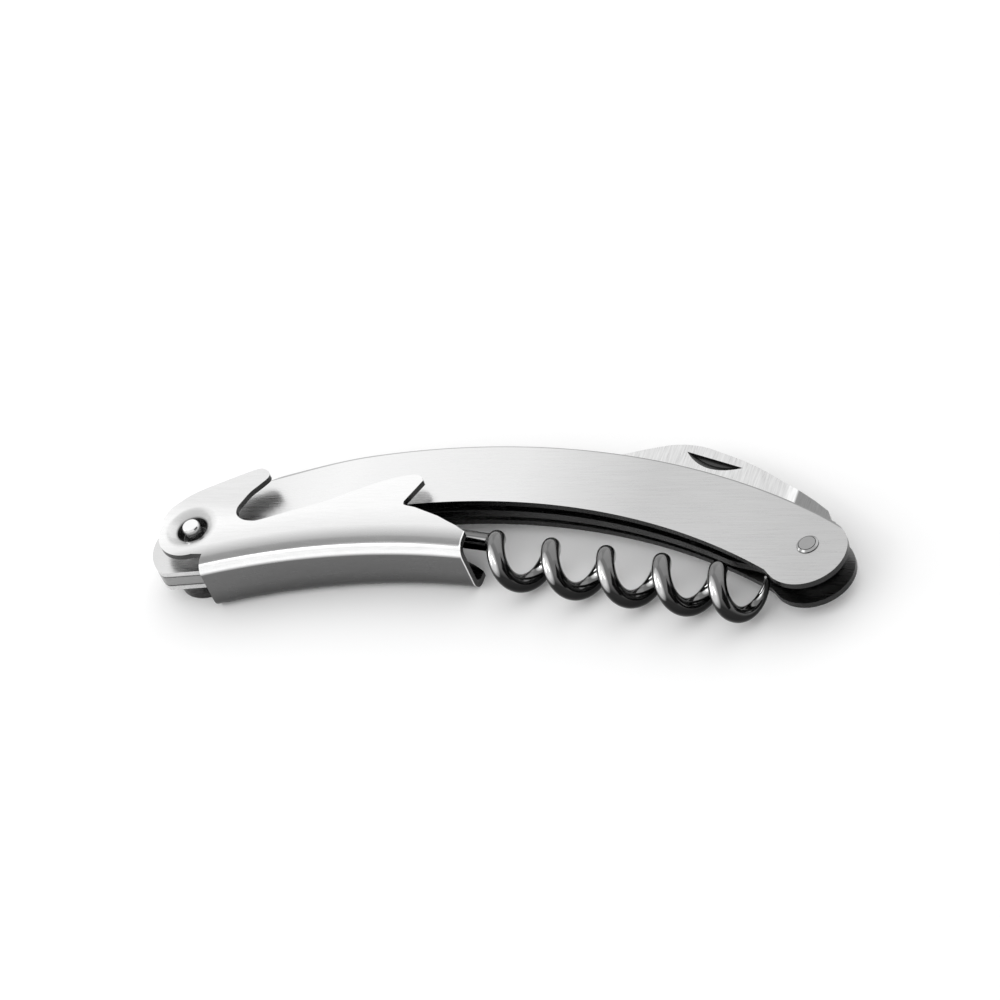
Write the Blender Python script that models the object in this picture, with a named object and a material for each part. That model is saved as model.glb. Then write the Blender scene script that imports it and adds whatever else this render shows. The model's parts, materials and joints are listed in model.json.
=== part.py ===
"""Curved all-steel waiter's corkscrew, folded shut.

The side view is drawn in X and Y, with the nose's centre at (0, 0): X runs from that pivot to the
blade's, and +Y is the convex side, where the blade folds in. Z is the thickness. At the end the
whole part is set down on the lever's back wall, with the origin at the bottom centre of its box.
Lengths are in metres.
"""

from math import asin, atan2, cos, hypot, pi, radians, sin, sqrt, tan

import bmesh
import bpy
from mathutils import Vector

# Sheets, gaps and fits
PLATE_SHEET = 0.00095
PLATE_GAP = 0.0032
LEVER_SHEET = 0.00095
LEVER_WIDTH = 0.00974
PIVOT_FIT = 0.00006
FACE_GAP = 0.00008
CUT_OVERRUN = 0.001

# Body: a band of steady width along an arc, with a round nose, a lobe and a round tail
LEVER_PIVOT = (0.0, 0.0007)
BLADE_PIVOT_X = 0.0999
CAMBER_RADIUS = 0.108
CAMBER_APEX_X = 0.045
CAMBER_APEX_Y = 0.01365
BAND_WIDTH = 0.011
BAND_TAIL_GAIN = 0.0011
BAND_NOSE_GAIN = 0.0008
NOSE_RADIUS = 0.0071
NOSE_FLAT_Y = -0.0060
NOSE_FLAT_START = -0.0035
NOSE_FLAT_RISE = 0.1
NOSE_FLAT_FILLET = 0.0015
NOSE_FLAT_END = 0.0058
NOSE_NECK_SLOPE = 2.2
SHOULDER_X = 0.009
TAIL_RADIUS = 0.0063
TAIL_DROP = 0.0013
LOBE_RADIUS = 0.0043
BAND_FILLET = 0.0016

# The plates draw together towards the nose, to this outer thickness
NOSE_THICKNESS = 0.0037
PINCH_START = 0.024
PINCH_END = 0.0075

# Blade, whose pivot stands a little above the band's centre line
BLADE_PIVOT_RISE = 0.0011
BAND_CENTRE_Y = CAMBER_APEX_Y - CAMBER_RADIUS
BLADE_PIVOT_Y = BAND_CENTRE_Y + sqrt(CAMBER_RADIUS**2 - (BLADE_PIVOT_X - CAMBER_APEX_X) ** 2) + BLADE_PIVOT_RISE
BLADE_THICKNESS = 0.0013
BLADE_LENGTH = 0.0441
BLADE_DEPTH = 0.0215
EDGE_THICKNESS = 0.00035
GRIND_WIDTH = 0.0030
GRIND_RUN_OUT = 0.0016
TIP_BLUNTNESS = 0.0003
BLADE_STEPS = 44
TANG_RADIUS = 0.0041
TANG_FRONT_ANGLE = radians(38)
TANG_HEEL_ANGLE = radians(10)
NICK_LENGTH = 0.0104
NICK_WIDTH = 0.0018
NICK_DEPTH = 0.00045
NICK_STEPS = 10
NICK_BELOW_BACK = 0.00178
NICK_X_SHARE = 0.462
BLADE_RIVET_RADIUS = 0.0011
BLADE_HEAD_RADIUS = 0.0017
BLADE_HEAD_HEIGHT = 0.0003
HEAD_TAPER = 0.0004
WASHER_RADIUS = 0.0035

# Shares of BLADE_LENGTH back from the blade's pivot and of BLADE_DEPTH up from it
TIP_SHARES = (0.950, 0.750)
BLADE_BACK_SHARES = (
    (0.945, 0.770),
    (0.880, 0.850),
    (0.805, 0.905),
    (0.700, 0.963),
    (0.624, 0.992),
    (0.553, 0.984),
    (0.500, 0.958),
    (0.436, 0.907),
    (0.370, 0.852),
    (0.295, 0.778),
    (0.206, 0.670),
    (0.123, 0.570),
    (0.049, 0.470),
)
BLADE_BUTT_SHARES = ((-0.009, 0.380), (-0.022, 0.326), (-0.040, 0.250))
BLADE_EDGE_SHARES = (
    (0.900, 0.680),
    (0.780, 0.625),
    (0.620, 0.540),
    (0.450, 0.425),
    (0.300, 0.300),
    (0.190, 0.215),
)

# Back spring between the plates, along the concave edge, and its two dowels
SPRING_THICKNESS = 0.0012
SPRING_HEIGHT = 0.0028
SPRING_PROUD = 0.00022
TANG_CLEARANCE = 0.0002
SPRING_RELIEF = 0.0013
RELIEF_START_X = 0.0870
RELIEF_FULL_X = 0.0935
SPRING_START_X = 0.0316
SPRING_END_X = 0.0970
SPRING_STEPS = 22
DOWEL_RADIUS = 0.00075
DOWEL_SEAT = 0.0005
DOWEL_PLACE_SHARES = (0.25, 0.75)

# Lever: a folded channel whose walls carry the ears, the cap hook and the fin
LEVER_LENGTH = 0.0460
LEVER_HEIGHT = 0.0127
SPINE_START_X = 0.0037
SPINE_APEX_X = 0.0341
SPINE_APEX_Y = -0.00279
SPINE_RADIUS = 0.1063
BEND_RADIUS = 0.0021
BEND_STEPS = 4
SPINE_STEPS = 20
EAR_RADIUS = 0.0050
EAR_FOOT_ANGLE = radians(-68)
EAR_BACK_ANGLE = radians(-192)
EAR_STEPS = 12

# Shares of LEVER_LENGTH and LEVER_HEIGHT from the lever's pivot, round the top of a wall
HOOK_SHARES = (
    (-0.1160, 0.205),
    (-0.1045, 0.340),
    (-0.0740, 0.482),
    (-0.0300, 0.622),
    (0.0700, 0.830),
    (0.1541, 0.985),
    (0.1839, 0.983),
    (0.2050, 0.920),
    (0.2070, 0.850),
)
MOUTH_SHARES = (
    (0.1865, 0.734),
    (0.1643, 0.620),
    (0.1500, 0.490),
    (0.1400, 0.370),
    (0.1480, 0.260),
    (0.1750, 0.185),
    (0.2080, 0.163),
    (0.2417, 0.180),
)
FIN_SHARES = (
    (0.3304, 0.307),
    (0.3928, 0.392),
    (0.4550, 0.480),
    (0.5146, 0.591),
    (0.5898, 0.727),
    (0.6493, 0.818),
    (0.6980, 0.872),
    (0.7400, 0.897),
    (0.7667, 0.863),
    (0.7790, 0.800),
)
NOTCH_SHARES = ((0.7400, 0.478), (0.7420, 0.425), (0.7600, 0.403))
TAIL_SHARES = ((0.7878, 0.379), (0.8824, 0.243), (0.9241, 0.161), (0.9600, 0.095))

# Dished dimples round the lever's rivet
DISH_RADIUS = 0.0043
WELL_RADIUS = 0.0024
WELL_FLOOR_RADIUS = 0.0019
DISH_DEPTH = 0.0006
PIVOT_RADIUS = 0.0011
PIVOT_HEAD_RADIUS = 0.0014
PIVOT_HEAD_PROUD = 0.0005
PIVOT_TAIL_RECESS = 0.0007
PIVOT_NECK_RADIUS = 0.0012

# Worm: a straight shank in line with a coil, and a round eye on its pin
WORM_PIN_X = 0.0285
WORM_PIN_Y = 0.00515
WORM_PIN_RADIUS = 0.0010
WORM_PIN_HEAD_RADIUS = 0.0018
WORM_PIN_HEAD_HEIGHT = 0.0003
EYE_RADIUS = 0.0030
EYE_THICKNESS = 0.0026
WIRE_RADIUS = 0.00138
COIL_RADIUS = 0.0030
COIL_PITCH = 0.0094
TIP_CLEARANCE = 0.0007
WORM_LENGTH = 0.0673
COIL_CLEARANCE = 0.0019
COIL_LEAD = 0.0026
COIL_TIP_RADIUS = 0.00018
COIL_TIP_DRAW = 0.0001
TIP_TURNS = 0.5
TIP_CLOSING = radians(60)
SLOPE_ROUNDS = 6
TURN_STEPS = 20
WIRE_SIDES = 10

ROUND_STEPS = 28
NOSE_STEPS = 16
BAND_STEPS = 34
SMOOTH_STEPS = 4


def clear_scene():
    for old in list(bpy.data.objects):
        bpy.data.objects.remove(old, do_unlink=True)


def steel(name, colour, roughness):
    material = bpy.data.materials.new(name)
    material.use_nodes = True
    shader = material.node_tree.nodes["Principled BSDF"]
    shader.inputs["Base Color"].default_value = (*colour, 1.0)
    shader.inputs["Roughness"].default_value = roughness
    shader.inputs["Metallic"].default_value = 1.0
    return material


def finish_object(name, bm, material, origin=(0.0, 0.0)):
    """Makes an object of the mesh, with its own origin on the axis at origin."""
    bmesh.ops.recalc_face_normals(bm, faces=bm.faces)
    bmesh.ops.translate(bm, vec=Vector((-origin[0], -origin[1], 0.0)), verts=bm.verts)
    mesh = bpy.data.meshes.new(name)
    bm.to_mesh(mesh)
    bm.free()
    mesh.shade_smooth()
    mesh.set_sharp_from_angle(angle=radians(30))
    mesh.materials.append(material)
    obj = bpy.data.objects.new(name, mesh)
    obj.location = (origin[0], origin[1], 0.0)
    bpy.context.collection.objects.link(obj)
    return obj


def helper(name, bm, material):
    """A cutter or an added lump: it shapes another object, and isn't a piece."""
    obj = finish_object(name, bm, material)
    obj.hide_render = True
    obj.display_type = "WIRE"
    return obj


def combine(obj, operation, other):
    modifier = obj.modifiers.new(operation.lower() + "_" + other.name, "BOOLEAN")
    modifier.operation = operation
    modifier.object = other
    modifier.solver = "EXACT"


def loft(sections):
    """A closed solid through rings of points, each ring with the same count."""
    bm = bmesh.new()
    rings = [[bm.verts.new(point) for point in section] for section in sections]
    count = len(rings[0])
    for ring, following in zip(rings, rings[1:]):
        for k in range(count):
            after = (k + 1) % count
            bm.faces.new((ring[k], ring[after], following[after], following[k]))
    bm.faces.new(reversed(rings[0]))
    bm.faces.new(rings[-1])
    return bm


def prism(outline, low, high):
    return loft([[(x, y, z) for x, y in outline] for z in (low, high)])


def circle(radius, steps=ROUND_STEPS):
    return [(radius * cos(2 * pi * k / steps), radius * sin(2 * pi * k / steps)) for k in range(steps)]


def turned(profile, centre):
    """A solid turned about the Z axis through centre, from (radius, height) pairs, bottom first."""
    sections = []
    for radius, height in profile:
        sections.append([(centre[0] + x, centre[1] + y, height) for x, y in circle(radius)])
    return loft(sections)


def smooth_through(points, steps=SMOOTH_STEPS):
    """Points of a smooth open curve through the given ones."""
    ends = [points[0]] + list(points) + [points[-1]]
    result = []
    for a, b, c, d in zip(ends, ends[1:], ends[2:], ends[3:]):
        for k in range(steps):
            t = k / steps
            weights = (
                -t / 2 + t * t - t**3 / 2,
                1 - 5 * t * t / 2 + 3 * t**3 / 2,
                t / 2 + 2 * t * t - 3 * t**3 / 2,
                (t**3 - t * t) / 2,
            )
            result.append(tuple(sum(w * p[i] for w, p in zip(weights, (a, b, c, d))) for i in (0, 1)))
    result.append(tuple(points[-1]))
    return result


def scaled(shares, length, height):
    return [(x * length, y * height) for x, y in shares]


def softer(a, b, width, sign):
    """The larger of a and b for sign 1, the smaller for sign -1, with the corner rounded."""
    share = max(0.0, 1 - abs(a - b) / width)
    larger = max(sign * a, sign * b) + share * share * width / 4
    return sign * larger


def round_height(x, centre_x, radius):
    inside = radius * radius - (x - centre_x) ** 2
    return sqrt(inside) if inside > 0 else None


def camber(x):
    """Height and slope of the band's centre line."""
    run = x - CAMBER_APEX_X
    height = CAMBER_APEX_Y - CAMBER_RADIUS + sqrt(CAMBER_RADIUS**2 - run * run)
    return height, asin(run / CAMBER_RADIUS)


def half_width(x):
    side = (x - CAMBER_APEX_X) / (BLADE_PIVOT_X - CAMBER_APEX_X)
    gain = BAND_TAIL_GAIN if side > 0 else BAND_NOSE_GAIN
    return (BAND_WIDTH + gain * side * side) / 2


def band_edge(x, side):
    height, slope = camber(x)
    return height + side * half_width(x) / cos(slope)


def tail_centre():
    return BLADE_PIVOT_X, BLADE_PIVOT_Y - TAIL_DROP


def shoulder(x):
    """The straight run of the upper edge that touches the nose and ends on the band."""
    end_y = band_edge(SHOULDER_X, 1)
    reach = hypot(SHOULDER_X, end_y)
    slope = atan2(end_y, SHOULDER_X) - asin(NOSE_RADIUS / reach)
    touch_x = -NOSE_RADIUS * sin(slope)
    height = end_y + (x - SHOULDER_X) * tan(slope)
    return touch_x, height


def tail_touch(side):
    """Where the band's edge on that side meets the round tail."""
    tail_x = tail_centre()[0]
    return tail_x + side * TAIL_RADIUS * sin(camber(tail_x)[1])


def tail_joined(x, height, side):
    """The band's edge on that side, led into the round tail."""
    tail_x, tail_y = tail_centre()
    rise = round_height(x, tail_x, TAIL_RADIUS)
    if rise is None:
        return height
    if x > tail_touch(side):
        return tail_y + side * rise
    return side * softer(side * height, side * tail_y + rise, BAND_FILLET / 4, 1)


def upper_edge(x):
    touch_x, straight = shoulder(x)
    if x < touch_x:
        return round_height(x, 0.0, NOSE_RADIUS)
    height = softer(band_edge(x, 1), straight, BAND_FILLET / 4, -1)
    return tail_joined(x, height, 1)


def lower_edge(x):
    nose = round_height(x, 0.0, NOSE_RADIUS)
    flat = NOSE_FLAT_Y + NOSE_FLAT_RISE * (x - NOSE_FLAT_START)
    neck = flat + max(0.0, x - NOSE_FLAT_END) * NOSE_NECK_SLOPE
    if nose is not None:
        neck = softer(-nose, neck, NOSE_FLAT_FILLET / 4, 1)
    if x < 0:
        return neck
    height = softer(band_edge(x, -1), neck, BAND_FILLET, -1)
    lobe = round_height(x, WORM_PIN_X, LOBE_RADIUS)
    if lobe is not None:
        height = softer(height, WORM_PIN_Y - lobe, BAND_FILLET, -1)
    return tail_joined(x, height, -1)


def body_stations(start, end):
    """X places along the body, closer together round the nose and the tail."""
    tail_x = tail_centre()[0]
    places = [-NOSE_RADIUS * cos(pi * (k + 0.35) / NOSE_STEPS) for k in range(NOSE_STEPS // 2)]
    span = tail_x - places[-1]
    places += [places[-1] + span * k / (2 * BAND_STEPS) for k in range(1, 2 * BAND_STEPS)]
    places += [tail_x + TAIL_RADIUS * sin(pi * k / NOSE_STEPS) for k in range(NOSE_STEPS // 2)]
    places += [tail_x + TAIL_RADIUS * cos(pi * 0.35 / NOSE_STEPS)]
    return [x for x in places if start <= x <= end]


def pinch(x):
    """How far the plates are drawn in at x."""
    share = min(1.0, max(0.0, (PINCH_START - x) / (PINCH_START - PINCH_END)))
    full = PLATE_GAP / 2 + PLATE_SHEET - NOSE_THICKNESS / 2
    return full * share * share * (3 - 2 * share)


def plate_face():
    """Height of a plate's outer face over the middle, away from the nose."""
    return PLATE_GAP / 2 + PLATE_SHEET


def body_plate(name, side, material):
    sections = []
    for x in body_stations(-NOSE_RADIUS, BLADE_PIVOT_X + TAIL_RADIUS):
        inner = side * (PLATE_GAP / 2 - pinch(x))
        outer = side * (plate_face() - pinch(x))
        low, high = lower_edge(x), upper_edge(x)
        sections.append([(x, low, inner), (x, high, inner), (x, high, outer), (x, low, outer)])
    plate = finish_object(name, loft(sections), material)
    reach = plate_face() + CUT_OVERRUN
    for centre, radius in (
        (LEVER_PIVOT, PIVOT_RADIUS),
        ((WORM_PIN_X, WORM_PIN_Y), WORM_PIN_RADIUS),
        ((BLADE_PIVOT_X, BLADE_PIVOT_Y), BLADE_RIVET_RADIUS),
    ):
        hole = radius + PIVOT_FIT
        cutter = helper(name + "_hole", turned([(hole, -reach), (hole, reach)], centre), material)
        combine(plate, "DIFFERENCE", cutter)
    for centre in dowel_centres():
        hole = DOWEL_RADIUS + PIVOT_FIT
        depth = side * (PLATE_GAP / 2 + DOWEL_SEAT)
        ends = sorted((0.0, depth))
        cutter = helper(name + "_seat", turned([(hole, z) for z in ends], centre), material)
        combine(plate, "DIFFERENCE", cutter)
    return plate


def nose_spacer(material):
    """Fills the space between the plates round the lever's pivot."""
    sections = []
    half = NOSE_THICKNESS / 2 - PLATE_SHEET - FACE_GAP
    for x in body_stations(-NOSE_RADIUS, PINCH_END):
        low, high = lower_edge(x), upper_edge(x)
        sections.append([(x, low, -half), (x, high, -half), (x, high, half), (x, low, half)])
    spacer = finish_object("nose_spacer", loft(sections), material)
    hole = PIVOT_RADIUS + PIVOT_FIT
    reach = half + CUT_OVERRUN
    combine(spacer, "DIFFERENCE", helper("spacer_hole", turned([(hole, -reach), (hole, reach)], LEVER_PIVOT), material))
    return spacer


def spring_bounds(x):
    """The spring's lower side at x, relieved for the worm's tip, and its upper side, clear of the tang."""
    share = min(1.0, max(0.0, (x - RELIEF_START_X) / (RELIEF_FULL_X - RELIEF_START_X)))
    outer = band_edge(x, -1) - SPRING_PROUD
    low = outer + SPRING_RELIEF * share * share * (3 - 2 * share)
    high = outer + SPRING_HEIGHT
    under_tang = round_height(x, BLADE_PIVOT_X, TANG_RADIUS + TANG_CLEARANCE)
    if under_tang is not None:
        high = min(high, BLADE_PIVOT_Y - under_tang)
    return low, high


def dowel_centres():
    places = []
    for share in DOWEL_PLACE_SHARES:
        x = SPRING_START_X + share * (SPRING_END_X - SPRING_START_X)
        low, high = spring_bounds(x)
        places.append((x, (low + high) / 2))
    return places


def back_spring(material):
    half = SPRING_THICKNESS / 2
    sections = []
    for k in range(SPRING_STEPS + 1):
        x = SPRING_START_X + (SPRING_END_X - SPRING_START_X) * k / SPRING_STEPS
        low, high = spring_bounds(x)
        sections.append([(x, low, -half), (x, high, -half), (x, high, half), (x, low, half)])
    spring = finish_object("back_spring", loft(sections), material)
    hole = DOWEL_RADIUS + PIVOT_FIT
    reach = half + CUT_OVERRUN
    for centre in dowel_centres():
        cutter = helper("spring_hole", turned([(hole, -reach), (hole, reach)], centre), material)
        combine(spring, "DIFFERENCE", cutter)
    return spring


def spring_dowels(material):
    half = PLATE_GAP / 2 + DOWEL_SEAT - FACE_GAP
    names = ("spring_dowel_front", "spring_dowel_rear")
    for name, centre in zip(names, dowel_centres()):
        finish_object(name, turned([(DOWEL_RADIUS, -half), (DOWEL_RADIUS, half)], centre), material, centre)


def spine_face(x):
    """Height of the spine's outer face."""
    return SPINE_APEX_Y - SPINE_RADIUS + sqrt(SPINE_RADIUS**2 - (x - SPINE_APEX_X) ** 2)


def channel_section(x):
    """The folded section across the lever at x, with legs as high as the lever."""
    half = LEVER_WIDTH / 2
    top = LEVER_HEIGHT + CUT_OVERRUN
    base = spine_face(x)
    corner = []
    for radius, inset in ((BEND_RADIUS, 0.0), (BEND_RADIUS - LEVER_SHEET, LEVER_SHEET)):
        arc = []
        for k in range(BEND_STEPS + 1):
            angle = pi / 2 * k / BEND_STEPS
            z = half - inset - radius + radius * cos(angle)
            y = base + inset + radius - radius * sin(angle)
            arc.append((y, z))
        corner.append(arc)
    outer = [(top, half)] + corner[0]
    inner = [(top, half - LEVER_SHEET)] + corner[1]
    ring = outer + [(y, -z) for y, z in reversed(outer)]
    ring += [(y, -z) for y, z in inner] + list(reversed(inner))
    return [(x, y, z) for y, z in ring]


def lever_outline():
    """The lever from the side: ear, hook, mouth, fin, notch and tail, then back under the spine."""
    outline = []
    start, end = EAR_FOOT_ANGLE, EAR_BACK_ANGLE
    for k in range(EAR_STEPS + 1):
        angle = start + (end - start) * k / EAR_STEPS
        outline.append((EAR_RADIUS * cos(angle), EAR_RADIUS * sin(angle)))
    top = scaled(HOOK_SHARES + MOUTH_SHARES + FIN_SHARES, LEVER_LENGTH, LEVER_HEIGHT)
    outline += smooth_through(top, 3)
    outline += smooth_through(scaled(NOTCH_SHARES, LEVER_LENGTH, LEVER_HEIGHT), 2)
    outline += scaled(TAIL_SHARES, LEVER_LENGTH, LEVER_HEIGHT)
    under = spine_face(SPINE_START_X) - CUT_OVERRUN
    outline += [(LEVER_LENGTH, 0.0), (LEVER_LENGTH, under), (SPINE_START_X, under)]
    outline += [(SPINE_START_X, EAR_RADIUS * sin(start))]
    return outline


def dish_profile(side, clearance):
    """(radius, height) pairs of a dimple's hollow, from its floor out past the wall's face."""
    face = LEVER_WIDTH / 2
    floor = NOSE_THICKNESS / 2 + FACE_GAP + LEVER_SHEET
    pairs = [
        (WELL_FLOOR_RADIUS, floor),
        (WELL_RADIUS, face - DISH_DEPTH),
        (WELL_RADIUS * 1.25, face - DISH_DEPTH * 0.55),
        (DISH_RADIUS * 0.82, face - DISH_DEPTH * 0.12),
        (DISH_RADIUS, face),
        (DISH_RADIUS, face + clearance),
    ]
    return [(radius, side * height) for radius, height in pairs]


def boss_profile(side):
    """(radius, height) pairs of the same dimple's lump on the inner side of the wall."""
    inner = LEVER_WIDTH / 2 - LEVER_SHEET
    foot = NOSE_THICKNESS / 2 + FACE_GAP
    pairs = [
        (WELL_FLOOR_RADIUS + LEVER_SHEET * 0.6, foot),
        (WELL_FLOOR_RADIUS + LEVER_SHEET, foot + LEVER_SHEET * 0.3),
        (WELL_RADIUS + LEVER_SHEET, inner - DISH_DEPTH / 2),
        (DISH_RADIUS, inner + LEVER_SHEET / 4),
    ]
    return [(radius, side * height) for radius, height in pairs]


def in_order(profile):
    return sorted(profile, key=lambda pair: pair[1])


def lever(material):
    first = -EAR_RADIUS * 1.3
    places = [first + (LEVER_LENGTH + CUT_OVERRUN - first) * k / SPINE_STEPS for k in range(SPINE_STEPS + 1)]
    channel = finish_object("lever", loft([channel_section(x) for x in places]), material)
    reach = LEVER_WIDTH / 2 + CUT_OVERRUN
    combine(channel, "INTERSECT", helper("lever_outline", prism(lever_outline(), -reach, reach), material))
    for side in (1, -1):
        name = "front" if side > 0 else "back"
        lump = turned(in_order(boss_profile(side)), LEVER_PIVOT)
        combine(channel, "UNION", helper("boss_" + name, lump, material))
        hollow = turned(in_order(dish_profile(side, CUT_OVERRUN)), LEVER_PIVOT)
        combine(channel, "DIFFERENCE", helper("dish_" + name, hollow, material))
    hole = PIVOT_RADIUS + PIVOT_FIT
    combine(channel, "DIFFERENCE", helper("lever_hole", turned([(hole, -reach), (hole, reach)], LEVER_PIVOT), material))
    return channel


def lever_rivet(material):
    """Headed in front, spread inside the dimple at the back."""
    floor = NOSE_THICKNESS / 2 + FACE_GAP + LEVER_SHEET + FACE_GAP
    top = LEVER_WIDTH / 2 + PIVOT_HEAD_PROUD
    bottom = -LEVER_WIDTH / 2 + PIVOT_TAIL_RECESS
    profile = [
        (PIVOT_NECK_RADIUS, bottom),
        (PIVOT_HEAD_RADIUS, bottom + HEAD_TAPER),
        (PIVOT_HEAD_RADIUS, -floor),
        (PIVOT_RADIUS, -floor),
        (PIVOT_RADIUS, floor),
        (PIVOT_HEAD_RADIUS, floor),
        (PIVOT_HEAD_RADIUS, top - HEAD_TAPER),
        (PIVOT_NECK_RADIUS, top),
    ]
    return finish_object("lever_rivet", turned(profile, LEVER_PIVOT), material, LEVER_PIVOT)


def headed_pin(name, centre, radius, head_radius, head_height, material):
    face = plate_face() + FACE_GAP
    top = face + head_height
    profile = [
        (head_radius - HEAD_TAPER, -top),
        (head_radius, -face),
        (radius, -face),
        (radius, face),
        (head_radius, face),
        (head_radius - HEAD_TAPER, top),
    ]
    return finish_object(name, turned(profile, centre), material, centre)


def along_blade(shares):
    return [(BLADE_PIVOT_X - x, BLADE_PIVOT_Y + y) for x, y in scaled(shares, BLADE_LENGTH, BLADE_DEPTH)]


def tang_arc(start, end):
    """Points round the tang, between two angles from the blade's pivot."""
    steps = ROUND_STEPS // 4
    angles = [start + (end - start) * k / steps for k in range(steps + 1)]
    return [(BLADE_PIVOT_X + TANG_RADIUS * cos(a), BLADE_PIVOT_Y + TANG_RADIUS * sin(a)) for a in angles]


def blade_back():
    """The upper side of the folded blade, from the tip to the right end of the tang."""
    points = along_blade((TIP_SHARES,)) + smooth_through(along_blade(BLADE_BACK_SHARES))
    return points + along_blade(BLADE_BUTT_SHARES) + tang_arc(TANG_FRONT_ANGLE, 0.0)


def blade_edge():
    """The cutting edge from the tip to the heel, then under the tang to its right end."""
    points = along_blade((TIP_SHARES,)) + smooth_through(along_blade(BLADE_EDGE_SHARES))
    return points + tang_arc(-pi - TANG_HEEL_ANGLE, 0.0)


def height_at(points, x):
    """Height of an outline, drawn from left to right, at x."""
    for before, after in zip(points, points[1:]):
        if before[0] <= x <= after[0]:
            return before[1] + (after[1] - before[1]) * (x - before[0]) / (after[0] - before[0])
    return points[-1][1]


def blade_section(x, back, edge):
    """Across the blade at x: full thickness down to the ground band along the edge."""
    half = BLADE_THICKNESS / 2
    low, high = height_at(edge, x), max(height_at(back, x), height_at(edge, x) + TIP_BLUNTNESS)
    heel = along_blade(BLADE_EDGE_SHARES)[-1][0]
    ground = min(1.0, max(0.0, (heel - x) / GRIND_RUN_OUT))
    thin = half - (half - EDGE_THICKNESS / 2) * ground
    line = low + min(GRIND_WIDTH, (high - low) / 2)
    ring = [(x, low, -thin), (x, line, -half), (x, high, -half)]
    return ring + [(x, y, -z) for x, y, z in reversed(ring)]


def blade(material):
    half = BLADE_THICKNESS / 2
    centre = (BLADE_PIVOT_X, BLADE_PIVOT_Y)
    back, edge = blade_back(), blade_edge()
    start, middle, end = back[0][0], BLADE_PIVOT_X - TANG_RADIUS, BLADE_PIVOT_X + TANG_RADIUS
    places = [start + (middle - start) * k / BLADE_STEPS for k in range(BLADE_STEPS)]
    places += [BLADE_PIVOT_X - TANG_RADIUS * cos(pi * k / NOSE_STEPS) for k in range(NOSE_STEPS)]
    places.append(end - TIP_BLUNTNESS / 4)
    body = finish_object("blade", loft([blade_section(x, back, edge) for x in places]), material, centre)
    hole = BLADE_RIVET_RADIUS + PIVOT_FIT
    reach = half + CUT_OVERRUN
    combine(body, "DIFFERENCE", helper("blade_hole", turned([(hole, -reach), (hole, reach)], centre), material))
    combine(body, "DIFFERENCE", helper("nail_nick", nail_nick(), material))
    return body


def nail_nick():
    """A crescent cut in the front of the blade, straight along the back and bellied below."""
    half = BLADE_THICKNESS / 2
    back = blade_back()
    middle_x = BLADE_PIVOT_X - NICK_X_SHARE * BLADE_LENGTH
    middle_y = height_at(back, middle_x) - NICK_BELOW_BACK
    ends = [height_at(back, middle_x + side * NICK_LENGTH / 2) for side in (-1, 1)]
    slope = atan2(ends[1] - ends[0], NICK_LENGTH)

    def crescent(length, width, lift):
        points = []
        for k in range(NICK_STEPS + 1):
            share = k / NICK_STEPS
            along = length * (share - 0.5)
            belly = lift - width * 4 * share * (1 - share)
            x = middle_x + along * cos(slope) - belly * sin(slope)
            y = middle_y + along * sin(slope) + belly * cos(slope)
            points.append((x, y))
        return points

    floor = crescent(NICK_LENGTH * 0.7, NICK_WIDTH * 0.4, 0.0)
    mouth = crescent(NICK_LENGTH * 1.3, NICK_WIDTH * 1.6, NICK_WIDTH * 0.1)
    heights = (half - NICK_DEPTH, half + NICK_DEPTH)
    return loft([[(x, y, z) for x, y in outline] for outline, z in zip((floor, mouth), heights)])


def blade_washers(material):
    inner = BLADE_THICKNESS / 2 + FACE_GAP
    outer = PLATE_GAP / 2 - FACE_GAP
    centre = (BLADE_PIVOT_X, BLADE_PIVOT_Y)
    hole = BLADE_RIVET_RADIUS + PIVOT_FIT
    for name, side in (("blade_washer_front", 1), ("blade_washer_back", -1)):
        ends = sorted((side * inner, side * outer))
        washer = finish_object(name, turned([(WASHER_RADIUS, z) for z in ends], centre), material, centre)
        reach = (ends[0] - CUT_OVERRUN, ends[1] + CUT_OVERRUN)
        cutter = helper(name + "_hole", turned([(hole, z) for z in reach], centre), material)
        combine(washer, "DIFFERENCE", cutter)


def coil_start():
    """Distance from the worm's pin to the coil, which starts clear of the folded lever's end."""
    return LEVER_LENGTH - WORM_PIN_X + COIL_CLEARANCE


def coil_slope():
    """Slope of the shank and the coil, whose tip ends close under the back spring."""
    slope = 0.0
    for _ in range(SLOPE_ROUNDS):
        far_x = WORM_PIN_X + WORM_LENGTH * cos(slope)
        far_y = spring_bounds(far_x)[0] - TIP_CLEARANCE - COIL_TIP_RADIUS
        slope = atan2(far_y - WORM_PIN_Y, far_x - WORM_PIN_X)
    return slope


def coil_phase(run):
    """Turning angle at a distance along the coil's axis from its start; the last turn closes up a little."""
    rate = 2 * pi / COIL_PITCH
    if run <= 0:
        return 0.0
    if run < COIL_LEAD:
        return rate * run * run / (2 * COIL_LEAD)
    left = WORM_LENGTH - coil_start() - run
    closing = max(0.0, 1 - left / COIL_PITCH)
    return rate * (run - COIL_LEAD / 2) + TIP_CLOSING * closing * closing


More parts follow.
